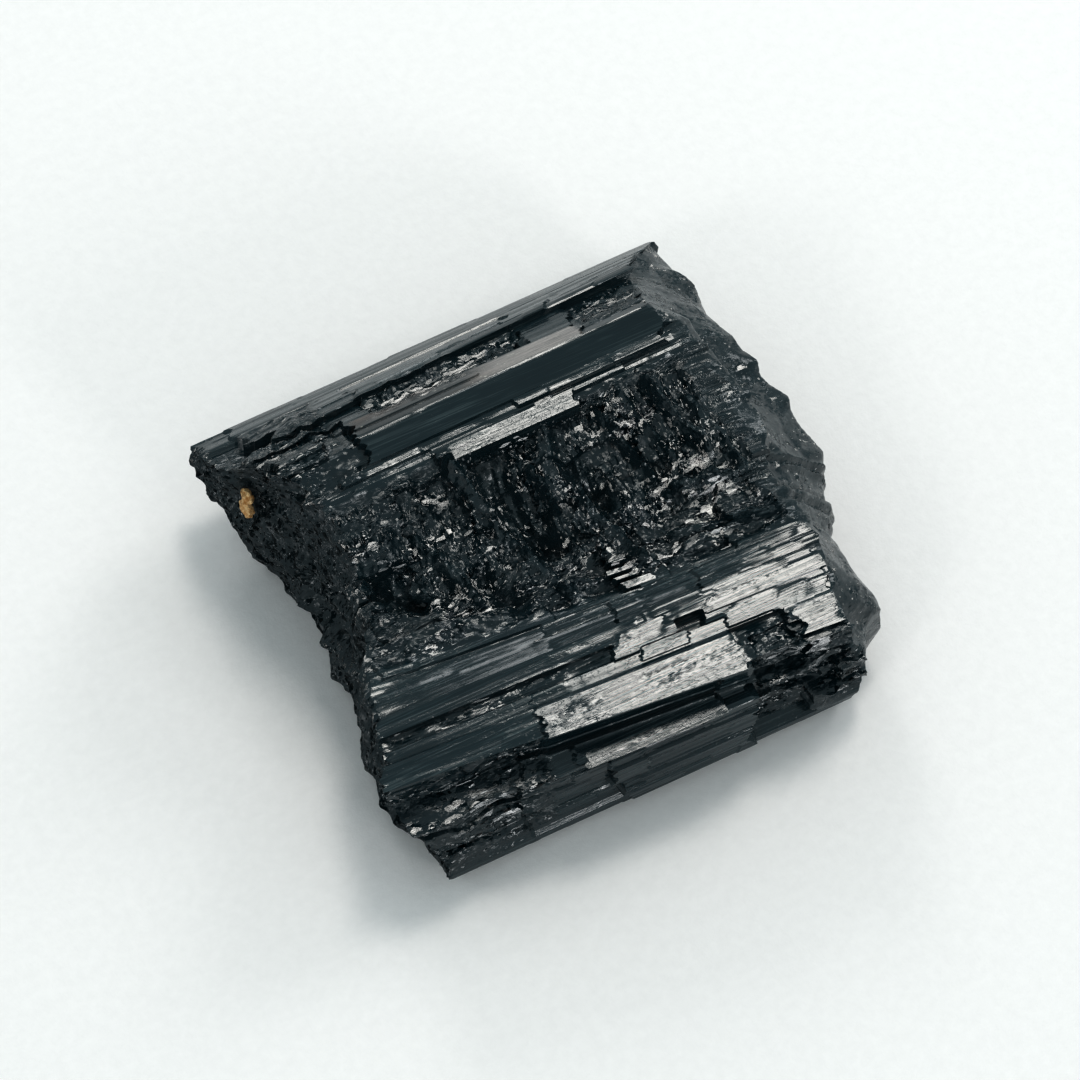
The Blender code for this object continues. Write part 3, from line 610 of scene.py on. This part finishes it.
def lath_jut(around, seed):
    """How far each lath juts out at an end: its own length for each lath, and none on the base."""
    starts = np.array([lath[0] for lath in LATHS])
    number = np.searchsorted(starts, around, side="right")
    jut = LATH_JUT * (hashed(number, seed=seed) - 0.5) + ragged(around, seed + 7, JUT_WANDER)
    return np.where((around > CORNER["front_foot"]) & (around < CORNER["under_back"]), 0.0, jut)


def side_point(around, share):
    """A point of the crystal's side, and how fractured and how smooth the surface is there."""
    x = -HALF_LENGTH + 2 * HALF_LENGTH * share
    for _ in range(2):
        y, z = section_point(around, x)
        left = left_end(y, z) - lath_jut(around, SEED + 300)
        right = right_end(y, z) + lath_jut(around, SEED + 400)
        x = left * (1 - share) + right * share
    y, z = section_point(around, x)
    broken = roughness_depth(around, x)
    calm = calmness(around, x)
    fractured = np.minimum(broken, 1)
    ridge = ridges(around, x, SIDE_RIDGES) * fractured
    rise = lath_rise(around, x) - hollow(around, x) + fracture(around, x)
    rise += ridge
    rise += leaning_floors(around, x)
    front = curve(around, FRONT_GAIN)
    rise += small_laths(around, x) * front * (1 - 0.5 * fractured) * (1 - (1 - CALM_SHARE) * calm)
    rise, covered = plates(around, x, rise)
    smoothed = broken * (1 - RIDGE_CALM * np.clip(2 * np.abs(ridge), 0, 1))
    broken = np.where(covered > 0, PLATE_BROKEN, smoothed)
    calm = np.maximum(calm, covered)
    away_y, away_z = outward(y, z)
    on_base = (around >= CORNER["base_front"]) & (around <= CORNER["base_back"])
    rise = np.where(on_base, 0.0, rise)
    return x, y + away_y * rise, np.maximum(z + away_z * rise, 0.0), broken, calm


def columns_around():
    """Distances round the section that hold a line of points: close together except on the flat base."""
    before = np.linspace(0.0, CORNER["base_front"], int(CORNER["base_front"] / SIDE_COLUMN))
    base = np.linspace(CORNER["base_front"], CORNER["base_back"], BASE_COLUMNS)[1:]
    last = int((ROUND - CORNER["base_back"]) / SIDE_COLUMN / BACK_COARSENESS)
    after = np.linspace(CORNER["base_back"], ROUND, last)[1:]
    return np.concatenate([before, base, after])


def inside_loop(y, z, loop):
    """Whether each point lies inside the loop of (y, z), counting the loop's crossings to one side of it."""
    start_y, start_z = loop[:, 0][:, None], loop[:, 1][:, None]
    end_y, end_z = np.roll(loop, -1, axis=0).T[:, :, None]
    spans = (start_z > z) != (end_z > z)
    rise = np.where(end_z == start_z, 1.0, end_z - start_z)
    crossing = start_y + (z - start_z) * (end_y - start_y) / rise
    return (spans & (y < crossing)).sum(axis=0) % 2 == 1


def face_points(loop, spacing, seed):
    """Evenly scattered (y, z) places inside a loop, clear of the loop itself."""
    low, high = loop.min(axis=0), loop.max(axis=0)
    grid_y, grid_z = np.meshgrid(*(np.arange(low[axis], high[axis], spacing) for axis in (0, 1)))
    row, column = np.indices(grid_y.shape)
    y = grid_y + spacing * (0.5 * (row % 2) + END_JITTER * (hashed(row, column, seed=seed) - 0.5))
    z = grid_z + spacing * END_JITTER * (hashed(row, column, seed=seed + 1) - 0.5)
    y, z = y.ravel(), z.ravel()
    nearest = np.hypot(y[:, None] - loop[:, 0], z[:, None] - loop[:, 1]).min(axis=1)
    kept = inside_loop(y, z, loop) & (nearest > RIM_CLEARANCE * spacing)
    return np.stack([y[kept], z[kept]], axis=1)


def close_end(shape, rim, end, broken, glint, seed):
    """Closes one end of the tube with a fracture face that starts from its rim of (x, y, z) points."""
    loop = rim[:, 1:]
    inner = face_points(loop, END_SPACING, seed)
    flat = [Vector(place) for place in np.concatenate([loop, inner])]
    around = [(number, (number + 1) % len(loop)) for number in range(len(loop))]
    places, _, faces, _, _, _ = delaunay_2d_cdt(flat, around, [], 1, 1e-5)
    x = np.concatenate([rim[:, 0], end(inner[:, 0], inner[:, 1])])
    broken_layer, glint_layer = shape.verts.layers.float["broken"], shape.verts.layers.float["glint"]
    corners = []
    for along, place in zip(x, places):
        point = (along - ORIGIN_SHIFT[0], place.x - ORIGIN_SHIFT[1], place.y)
        corner = shape.verts.new([part * MM for part in point])
        corner[broken_layer] = broken
        corner[glint_layer] = glint
        corners.append(corner)
    for face in faces:
        shape.faces.new([corners[number] for number in face])


def node(tree, kind, **values):
    """A new node of a tree, with its values set."""
    made = tree.nodes.new(kind)
    for name, value in values.items():
        setattr(made, name, value)
    return made


def fill(tree, socket, value):
    """Links a socket to another node's output, or gives it a plain value."""
    if isinstance(value, bpy.types.NodeSocket):
        tree.links.new(value, socket)
    elif socket.type == "RGBA":
        socket.default_value = (*value, 1.0)
    else:
        socket.default_value = value


def new_material(name):
    """A material, its node tree and its shader."""
    material = bpy.data.materials.new(name)
    material.use_nodes = True
    return material, material.node_tree, material.node_tree.nodes["Principled BSDF"]


def object_place(tree):
    """Object coordinates."""
    return node(tree, "ShaderNodeTexCoord").outputs["Object"]


def stretched(tree, coordinates, scale):
    """Coordinates with their own scale along each axis."""
    mapping = node(tree, "ShaderNodeMapping")
    mapping.inputs["Scale"].default_value = scale
    tree.links.new(coordinates, mapping.inputs["Vector"])
    return mapping.outputs["Vector"]


def pattern(tree, coordinates, stretch, scale, detail, roughness=0.6):
    """Noise with its own stretch along each axis."""
    texture = node(tree, "ShaderNodeTexNoise")
    for name, value in (("Scale", scale), ("Detail", detail), ("Roughness", roughness)):
        texture.inputs[name].default_value = value
    tree.links.new(stretched(tree, coordinates, stretch), texture.inputs["Vector"])
    return texture.outputs["Fac"]


def math_node(tree, operation, first, second):
    """A sum, product or other reckoning of two values."""
    made = node(tree, "ShaderNodeMath", operation=operation)
    fill(tree, made.inputs[0], first)
    fill(tree, made.inputs[1], second)
    return made.outputs[0]


def vector_node(tree, operation, first, second=None, scale=None):
    """A sum, scaling or other reckoning of vectors."""
    made = node(tree, "ShaderNodeVectorMath", operation=operation)
    for socket, value in ((0, first), (1, second), ("Scale", scale)):
        if value is not None:
            fill(tree, made.inputs[socket], value)
    return made.outputs["Vector"]


def ranged(tree, value, low, high, to_low=0.0, to_high=1.0):
    """A value carried from one range to another, and held at its ends."""
    made = node(tree, "ShaderNodeMapRange")
    for name, number in (("From Min", low), ("From Max", high), ("To Min", to_low), ("To Max", to_high)):
        made.inputs[name].default_value = number
    tree.links.new(value, made.inputs["Value"])
    return made.outputs["Result"]


def mixed(tree, kind, share, first, second):
    """A mix of two colours, vectors or plain values, by a share."""
    made = node(tree, "ShaderNodeMix", data_type=kind)
    before, after, result = MIX_SOCKETS[kind]
    tree.links.new(share, made.inputs[0])
    fill(tree, made.inputs[before], first)
    fill(tree, made.inputs[after], second)
    return made.outputs[result]


def bump(tree, height, distance, strength, normal=None):
    """A normal that follows a height."""
    made = node(tree, "ShaderNodeBump")
    made.inputs["Distance"].default_value = distance
    made.inputs["Strength"].default_value = strength
    tree.links.new(height, made.inputs["Height"])
    if normal is not None:
        tree.links.new(normal, made.inputs["Normal"])
    return made.outputs["Normal"]


def cells(tree, coordinates, size):
    """A random colour for each small flat cell."""
    made = node(tree, "ShaderNodeTexVoronoi", feature="F1")
    made.inputs["Scale"].default_value = 1.0 / size
    tree.links.new(coordinates, made.inputs["Vector"])
    return made.outputs["Color"]


def leaning(tree, colour, spread):
    """A random lean for each cell, as a vector to add to the normal."""
    centred = vector_node(tree, "SUBTRACT", colour, (0.5, 0.5, 0.5))
    return vector_node(tree, "SCALE", centred, scale=spread)


def picked_cells(tree, colour, share):
    """1 in the share of the cells that the random colour picks, 0 in the others."""
    parts = node(tree, "ShaderNodeSeparateColor")
    tree.links.new(colour, parts.inputs[0])
    return math_node(tree, "LESS_THAN", parts.outputs["Blue"], share)


def part_of(tree, vector, axis):
    """A vector's part along one axis."""
    parts = node(tree, "ShaderNodeSeparateXYZ")
    tree.links.new(vector, parts.inputs[0])
    return parts.outputs[axis]


def crystal_colour(tree, settings, look):
    """Blue-black clouds with paler lines along the ribs, and a brown to pale coat with flecks on one slat."""
    cloud, stain = look["cloud"], look["stain"]
    colour = mixed(tree, "RGBA", ranged(tree, cloud, 0.35, 0.7), settings.body_colour,
                   settings.body_light_colour)
    lines = math_node(tree, "MAXIMUM", ranged(tree, look["ribs"], 0.56, 0.68),
                      ranged(tree, look["fine_ribs"], 0.6, 0.7, 0.0, 0.8))
    lines = math_node(tree, "MULTIPLY", lines, ranged(tree, cloud, 0.35, 0.6, 0.1, 0.9))
    colour = mixed(tree, "RGBA", lines, colour, settings.line_colour)
    colour = mixed(tree, "RGBA", look["broken"], colour, settings.broken_colour)
    coat = mixed(tree, "RGBA", look["pale"], settings.stain_colour, settings.pale_colour)
    patchy = math_node(tree, "MULTIPLY", stain, ranged(tree, cloud, 0.38, 0.62, 0.12, 0.95))
    streaky = math_node(tree, "MULTIPLY", stain, ranged(tree, look["fine_ribs"], 0.4, 0.6, 0.45, 0.95))
    coated = math_node(tree, "MAXIMUM", patchy, math_node(tree, "MULTIPLY", streaky, look["pale"]))
    colour = mixed(tree, "RGBA", coated, colour, coat)
    flecks = math_node(tree, "MULTIPLY", stain, ranged(tree, look["pits"], 0.64, 0.7))
    flecks = math_node(tree, "MULTIPLY", flecks, ranged(tree, look["clusters"], 0.5, 0.6))
    return mixed(tree, "RGBA", flecks, colour, settings.speck_colour)


def crystal_roughness(tree, settings, look):
    """Streaks on the smooth faces, and clusters of shinier facets in the fractures."""
    face, broken = settings.face_roughness, settings.broken_roughness
    streaks = ranged(tree, look["ribs"], 0.35, 0.7, face * 0.8, face * 1.3)
    facets = ranged(tree, look["clusters"], 0.4, 0.6, broken * 1.5, broken * 0.6)
    return mixed(tree, "FLOAT", look["broken"], streaks, facets)


def end_lean(tree, where, surface):
    """The lean of the left end's facets: none elsewhere."""
    towards_end = ranged(tree, part_of(tree, where, "X"), LEFT_END[0] * MM, LEFT_END[1] * MM)
    facing_left = ranged(tree, part_of(tree, surface, "X"), -0.3, -0.7)
    share = math_node(tree, "MULTIPLY", towards_end, facing_left)
    return vector_node(tree, "SCALE", LEFT_END_LEAN, scale=share)


def fracture_normal(tree, where, look):
    """Random facets in the fractures, and among them small parallel terraces that catch the light."""
    surface = node(tree, "ShaderNodeNewGeometry").outputs["Normal"]
    broken, clusters = look["broken"], look["clusters"]
    facet_place = mixed(tree, "VECTOR", look["cross"], stretched(tree, where, ALONG_STRETCH),
                        stretched(tree, where, ACROSS_STRETCH))
    speck_cells = cells(tree, facet_place, SPECKS[0])
    (size, spread), (small_size, small_spread) = FACETS
    lean = vector_node(tree, "ADD", leaning(tree, cells(tree, facet_place, size), spread),
                       leaning(tree, cells(tree, facet_place, small_size), small_spread))
    lean = vector_node(tree, "ADD", lean, leaning(tree, speck_cells, SPECKS[1]))
    glinting = math_node(tree, "MULTIPLY", look["glint"], ranged(tree, look["pits"], 0.4, 0.55, 0.35, 1.0))
    strength = math_node(tree, "ADD", ranged(tree, clusters, 0.46, 0.6, 0.18, 1.1), glinting)
    lean = vector_node(tree, "SCALE", lean, scale=math_node(tree, "MULTIPLY", broken, strength))
    lean = vector_node(tree, "ADD", lean, end_lean(tree, where, surface))
    faceted = vector_node(tree, "NORMALIZE", vector_node(tree, "ADD", surface, lean))

    facing_front = ranged(tree, part_of(tree, surface, "Y"), -0.6, -0.8)
    common = mixed(tree, "VECTOR", facing_front, TERRACE_NORMAL, FRONT_TERRACE_NORMAL)
    terrace_cells = cells(tree, stretched(tree, where, TERRACE_STRETCH), TERRACES[0])
    terrace = vector_node(tree, "ADD", common, leaning(tree, terrace_cells, TERRACES[1]))
    glinting = math_node(tree, "MULTIPLY", look["glint"], ranged(tree, clusters, 0.42, 0.55, 0.12, 0.8))
    share = math_node(tree, "ADD", ranged(tree, clusters, 0.48, 0.62, 0.02, 0.12), glinting)
    share = math_node(tree, "MULTIPLY", share, broken)
    speck_share = math_node(tree, "MULTIPLY", ranged(tree, look["pits"], 0.45, 0.64, 0.01, 0.3), broken)
    speck_share = math_node(tree, "MULTIPLY", speck_share, broken)
    picked = math_node(tree, "MAXIMUM", picked_cells(tree, terrace_cells, share),
                       picked_cells(tree, speck_cells, speck_share))
    return vector_node(tree, "NORMALIZE", mixed(tree, "VECTOR", picked, faceted, terrace))


def tourmaline_material(settings):
    """Glassy blue-black, ribbed along X on the smooth faces and hackly where it is broken."""
    material, tree, shader = new_material("black_tourmaline")
    where = object_place(tree)
    look = {name: pattern(tree, where, *values) for name, values in PATTERNS.items()}
    for name in ATTRIBUTES:
        look[name] = node(tree, "ShaderNodeAttribute", attribute_name=name).outputs["Fac"]
    tree.links.new(crystal_colour(tree, settings, look), shader.inputs["Base Color"])
    tree.links.new(crystal_roughness(tree, settings, look), shader.inputs["Roughness"])
    shader.inputs["IOR"].default_value = settings.ior

    ribbed = math_node(tree, "ADD", look["ribs"], math_node(tree, "MULTIPLY", look["fine_ribs"], 0.6))
    ribbed = math_node(tree, "MULTIPLY", ribbed, ranged(tree, look["calm"], 0.0, 1.0, 1.0, 0.8))
    pitted = math_node(tree, "MULTIPLY", ranged(tree, look["pits"], 0.56, 0.66),
                       ranged(tree, look["cloud"], 0.4, 0.62))
    relief = math_node(tree, "SUBTRACT", ribbed, math_node(tree, "MULTIPLY", pitted, 0.6))
    normal = bump(tree, relief, *RIB_BUMPS, fracture_normal(tree, where, look))
    tree.links.new(normal, shader.inputs["Normal"])
    return material


def tan_material(settings):
    """Ochre to cream, granular and dull."""
    material, tree, shader = new_material("tan_mineral")
    where = object_place(tree)
    patches = pattern(tree, where, EVEN, 2600.0, 5.0)
    specks = pattern(tree, where, EVEN, 9000.0, 4.0)
    colour = mixed(tree, "RGBA", ranged(tree, patches, 0.4, 0.62), settings.ochre, settings.cream)
    colour = mixed(tree, "RGBA", ranged(tree, specks, 0.6, 0.72, 0.0, 0.8), colour, GRAIN_SPECKS)
    tree.links.new(colour, shader.inputs["Base Color"])
    tree.links.new(ranged(tree, specks, 0.3, 0.7, 0.55, 0.9), shader.inputs["Roughness"])
    tree.links.new(bump(tree, specks, *GRAIN_BUMPS), shader.inputs["Normal"])
    return material


def paper_material(settings):
    """Plain pale paper with a faint fibre grain."""
    material, tree, shader = new_material("pale_paper")
    fibre = pattern(tree, object_place(tree), EVEN, 900.0, 5.0, 0.7)
    low = tuple(0.97 * part for part in settings.floor_colour)
    colour = mixed(tree, "RGBA", ranged(tree, fibre, 0.35, 0.65), low, settings.floor_colour)
    tree.links.new(colour, shader.inputs["Base Color"])
    shader.inputs["Roughness"].default_value = 0.85
    shader.inputs["Specular IOR Level"].default_value = 0.2
    tree.links.new(bump(tree, fibre, *PAPER_BUMPS), shader.inputs["Normal"])
    return material


def colour_property(name, description, default):
    """A colour that a user may change."""
    return FloatVectorProperty(name=name, description=description, subtype="COLOR", default=default, min=0.0,
                               max=1.0)


class CrystalSettings(bpy.types.PropertyGroup):
    """Colours and finish of the crystal."""

    body_colour: colour_property("Body colour", "Darkest colour of the crystal", (0.004, 0.018, 0.024))
    body_light_colour: colour_property("Body tint", "Lighter blue-black clouds", (0.009, 0.027, 0.034))
    stain_colour: colour_property("Stain colour", "Warm stain on the slat below the crest",
                                  (0.095, 0.07, 0.06))
    pale_colour: colour_property("Pale coat colour", "Coat on the right of that slat", (0.32, 0.29, 0.275))
    speck_colour: colour_property("Speck colour", "Small pale specks on that slat", (0.42, 0.40, 0.36))
    line_colour: colour_property("Line colour", "Fine paler lines along the laths", (0.055, 0.080, 0.086))
    broken_colour: colour_property("Fracture colour", "Colour of the broken surfaces", (0.004, 0.018, 0.024))
    face_roughness: FloatProperty(name="Face roughness", description="Roughness of the smooth ribbed faces",
                                  default=0.18, min=0.0, max=1.0, subtype="FACTOR")
    broken_roughness: FloatProperty(name="Fracture roughness", description="Roughness of the broken surfaces",
                                    default=0.22, min=0.0, max=1.0, subtype="FACTOR")
    ior: FloatProperty(name="IOR", description="Refractive index of tourmaline", default=1.64, min=1.0,
                       max=3.0)


class GrainSettings(bpy.types.PropertyGroup):
    """Colours of the tan grain."""

    ochre: colour_property("Ochre", "Darker colour of the grain", (0.50, 0.26, 0.09))
    cream: colour_property("Cream", "Lighter colour of the grain", (0.80, 0.58, 0.33))


class StageSettings(bpy.types.PropertyGroup):
    """Floor, lights and camera."""

    floor_colour: colour_property("Floor", "Colour of the pale floor", (0.91, 0.874, 0.861))
    floor_size: FloatProperty(name="Floor size", description="Side of the square floor", default=3.0, min=0.5,
                              unit="LENGTH")
    camera_distance: FloatProperty(name="Camera distance", description="From the crystal to the camera",
                                   default=0.32, min=0.1, unit="LENGTH")
    lens: FloatProperty(name="Lens", description="Focal length in millimetres", default=128.0, min=10.0)
    azimuth: FloatProperty(name="Azimuth", description="Camera turned about the vertical",
                           default=math.radians(-27.0), subtype="ANGLE", unit="ROTATION")
    elevation: FloatProperty(name="Elevation", description="Camera above the horizon",
                             default=math.radians(60.0), subtype="ANGLE", unit="ROTATION")
    key_power: FloatProperty(name="Key light", description="Power of the key softbox", default=1.7, min=0.0,
                             unit="POWER")
    view_gamma: FloatProperty(name="View gamma", description="Below 1 deepens the dark tones", default=0.7,
                              min=0.1)
    room: FloatProperty(name="Room light", description="Brightness of the room", default=0.66, min=0.0)


def link(piece):
    """Adds an object to the scene."""
    bpy.context.scene.collection.objects.link(piece)
    return piece


def softbox(name, place, size, power, colour):
    """A soft rectangular light aimed at the crystal."""
    lamp = bpy.data.lights.new(name, "AREA")
    lamp.shape = "RECTANGLE"
    lamp.size, lamp.size_y = size
    lamp.energy = power
    lamp.color = colour
    made = link(bpy.data.objects.new(name, lamp))
    made.location = place
    made.rotation_euler = (Vector(LIGHT_TARGET) - Vector(place)).to_track_quat("-Z", "Y").to_euler()


class CRYSTAL_OT_stage(bpy.types.Operator):
    """Adds the pale floor, the soft light and the camera."""

    bl_idname = "crystal.stage"
    bl_label = "Add stage"

    def execute(self, context):
        settings = context.scene.stage_settings
        shape = bmesh.new()
        bmesh.ops.create_grid(shape, x_segments=2, y_segments=2, size=settings.floor_size / 2)
        mesh = bpy.data.meshes.new("floor")
        shape.to_mesh(mesh)
        shape.free()
        mesh.materials.append(paper_material(settings))
        floor = link(bpy.data.objects.new("floor", mesh))

        world = bpy.data.worlds.new("room")
        world.use_nodes = True
        background = world.node_tree.nodes["Background"]
        background.inputs["Color"].default_value = (*ROOM_COLOUR, 1.0)
        background.inputs["Strength"].default_value = settings.room
        context.scene.world = world
        for name, (place, size, share, colour) in SOFTBOXES.items():
            softbox(name, place, size, settings.key_power * share, colour)

        lens = bpy.data.cameras.new("camera")
        lens.lens = settings.lens
        lens.sensor_width = 36.0
        lens.sensor_fit = "HORIZONTAL"
        lens.clip_start = 0.01
        camera = link(bpy.data.objects.new("camera", lens))
        level = math.cos(settings.elevation)
        back = Vector((math.sin(settings.azimuth) * level, -math.cos(settings.azimuth) * level,
                       math.sin(settings.elevation)))
        target = Vector(CAMERA_TARGET) * MM
        camera.location = target + back * settings.camera_distance
        camera.rotation_euler = (-back).to_track_quat("-Z", "Y").to_euler()
        context.scene.camera = camera
        context.scene.view_settings.view_transform = "Standard"
        context.scene.view_settings.gamma = settings.view_gamma
        return {"FINISHED"}


class CRYSTAL_OT_crystal(bpy.types.Operator):
    """Models the crystal with its small laths, ledges and chips."""

    bl_idname = "crystal.crystal"
    bl_label = "Add crystal"

    def execute(self, context):
        columns = columns_around()
        columns = np.concatenate([columns[:-1], columns[:1]])
        rings = [side_point(columns, np.full(len(columns), row / SIDE_ROWS)) for row in range(SIDE_ROWS + 1)]
        sheet = np.array(rings).transpose(0, 2, 1)
        shape = bmesh.new()
        bmesh.ops.create_grid(shape, x_segments=len(columns) - 1, y_segments=SIDE_ROWS, size=1.0)
        mesh = bpy.data.meshes.new("crystal")
        shape.to_mesh(mesh)
        shape.free()
        flat = sheet.reshape(-1, 5)
        points = flat[:, :3] - np.array([*ORIGIN_SHIFT, 0.0])
        mesh.vertices.foreach_set("co", (points * MM).astype(np.float32).ravel())
        around = np.tile(columns, len(sheet))
        values_of = {
            "broken": np.clip(flat[:, 3] * BROKEN_GAIN, 0, 1),
            "stain": faded(around, flat[:, 0], *COATED, COAT_FADE),
            "pale": np.interp(flat[:, 0], PALE_FROM, (0.0, 1.0)),
            "calm": flat[:, 4],
            "glint": glitter(around, flat[:, 0]),
            "cross": curve(around, CROSS_SHARE),
        }
        for name in ATTRIBUTES:
            values = values_of[name].astype(np.float32)
            mesh.attributes.new(name, "FLOAT", "POINT").data.foreach_set("value", values)
        shape = bmesh.new()
        shape.from_mesh(mesh)
        close_end(shape, sheet[0, :-1, :3], left_end, END_BROKEN[0], END_GLINT[0], SEED + 50)
        close_end(shape, sheet[-1, :-1, :3], right_end, END_BROKEN[1], END_GLINT[1], SEED + 60)
        bmesh.ops.remove_doubles(shape, verts=shape.verts, dist=1e-7)
        bmesh.ops.triangulate(shape, faces=shape.faces, quad_method="SHORT_EDGE")
        bmesh.ops.recalc_face_normals(shape, faces=shape.faces)
        shape.to_mesh(mesh)
        triangles = len(shape.faces)
        shape.free()
        piece = link(bpy.data.objects.new("crystal", mesh))
        mesh.materials.append(tourmaline_material(context.scene.crystal_settings))
        if triangles > MOST_TRIANGLES:
            thin = piece.modifiers.new("thinned", "DECIMATE")
            thin.ratio = MOST_TRIANGLES / triangles
            apply_modifiers(piece)
        piece.data.shade_smooth()
        facet_broken_faces(piece.data)
        piece.data.set_sharp_from_angle(angle=math.radians(SHARP_ANGLE))
        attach(piece, BODY)
        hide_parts(CRYSTAL_NODE)
        return {"FINISHED"}


def facet_broken_faces(mesh):
    """Shades the fractured faces flat, so that each small facet keeps its own glint."""
    broken = np.zeros(len(mesh.vertices), np.float32)
    mesh.attributes["broken"].data.foreach_get("value", broken)
    corners = np.zeros(len(mesh.polygons) * 3, np.int32)
    mesh.polygons.foreach_get("vertices", corners)
    smooth = broken[corners].reshape(-1, 3).mean(axis=1) < FLAT_FROM
    mesh.polygons.foreach_set("use_smooth", smooth)


def apply_modifiers(piece):
    """Bakes the piece's modifiers into its mesh."""
    graph = bpy.context.evaluated_depsgraph_get()
    made = bpy.data.meshes.new_from_object(piece.evaluated_get(graph))
    old = piece.data
    piece.modifiers.clear()
    piece.data = made
    bpy.data.meshes.remove(old)


class CRYSTAL_OT_grain(bpy.types.Operator):
    """Models the tan grain in the broken left end."""

    bl_idname = "crystal.grain"
    bl_label = "Add tan grain"

    def execute(self, context):
        shape = bmesh.new()
        shape.from_mesh(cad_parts[GRAIN_NODE].data)
        bmesh.ops.remove_doubles(shape, verts=shape.verts, dist=1e-6)
        bmesh.ops.subdivide_edges(shape, edges=shape.edges, cuts=2, use_grid_fill=True)
        middle = sum((vertex.co for vertex in shape.verts), Vector()) / len(shape.verts)
        bmesh.ops.scale(shape, verts=shape.verts, vec=GRAIN_SCALE, space=Matrix.Translation(-middle))
        for _ in range(2):
            bmesh.ops.smooth_vert(shape, verts=shape.verts, factor=0.5, use_axis_x=True, use_axis_y=True,
                                  use_axis_z=True)
        for vertex in shape.verts:
            away = (vertex.co - middle).normalized()
            vertex.co += away * GRAIN_RELIEF * MM * noise.noise(vertex.co / (GRAIN_LUMP * MM))
        bmesh.ops.recalc_face_normals(shape, faces=shape.faces)
        mesh = bpy.data.meshes.new("tan_grain")
        shape.to_mesh(mesh)
        shape.free()
        mesh.materials.append(tan_material(context.scene.grain_settings))
        piece = link(bpy.data.objects.new("tan_grain", mesh))
        mesh.shade_smooth()
        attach(piece, BODY)
        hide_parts(GRAIN_NODE)
        return {"FINISHED"}


class CRYSTAL_PT_panel(bpy.types.Panel):
    """Lists the pieces, the stage and their settings."""

    bl_idname = "CRYSTAL_PT_panel"
    bl_label = "Tourmaline crystal"
    bl_space_type = "VIEW_3D"
    bl_region_type = "UI"
    bl_category = "Crystal"

    def draw(self, context):
        for operator in OPERATORS:
            self.layout.operator(operator.bl_idname)
        for settings in GROUPS:
            box = self.layout.box()
            for name in GROUPS[settings].__annotations__:
                box.prop(getattr(context.scene, settings), name)


OPERATORS = (CRYSTAL_OT_stage, CRYSTAL_OT_crystal, CRYSTAL_OT_grain)
GROUPS = {
    "stage_settings": StageSettings,
    "crystal_settings": CrystalSettings,
    "grain_settings": GrainSettings,
}


def register():
    for group in (*GROUPS.values(), *OPERATORS, CRYSTAL_PT_panel):
        bpy.utils.register_class(group)
    for name, group in GROUPS.items():
        setattr(bpy.types.Scene, name, PointerProperty(type=group))


def unregister():
    for name in GROUPS:
        delattr(bpy.types.Scene, name)
    for group in reversed((*GROUPS.values(), *OPERATORS, CRYSTAL_PT_panel)):
        bpy.utils.unregister_class(group)


def main():
    """Builds the stage and both pieces."""
    register()
    bpy.ops.crystal.stage()
    bpy.ops.crystal.crystal()
    bpy.ops.crystal.grain()


if __name__ == "__main__":
    main()
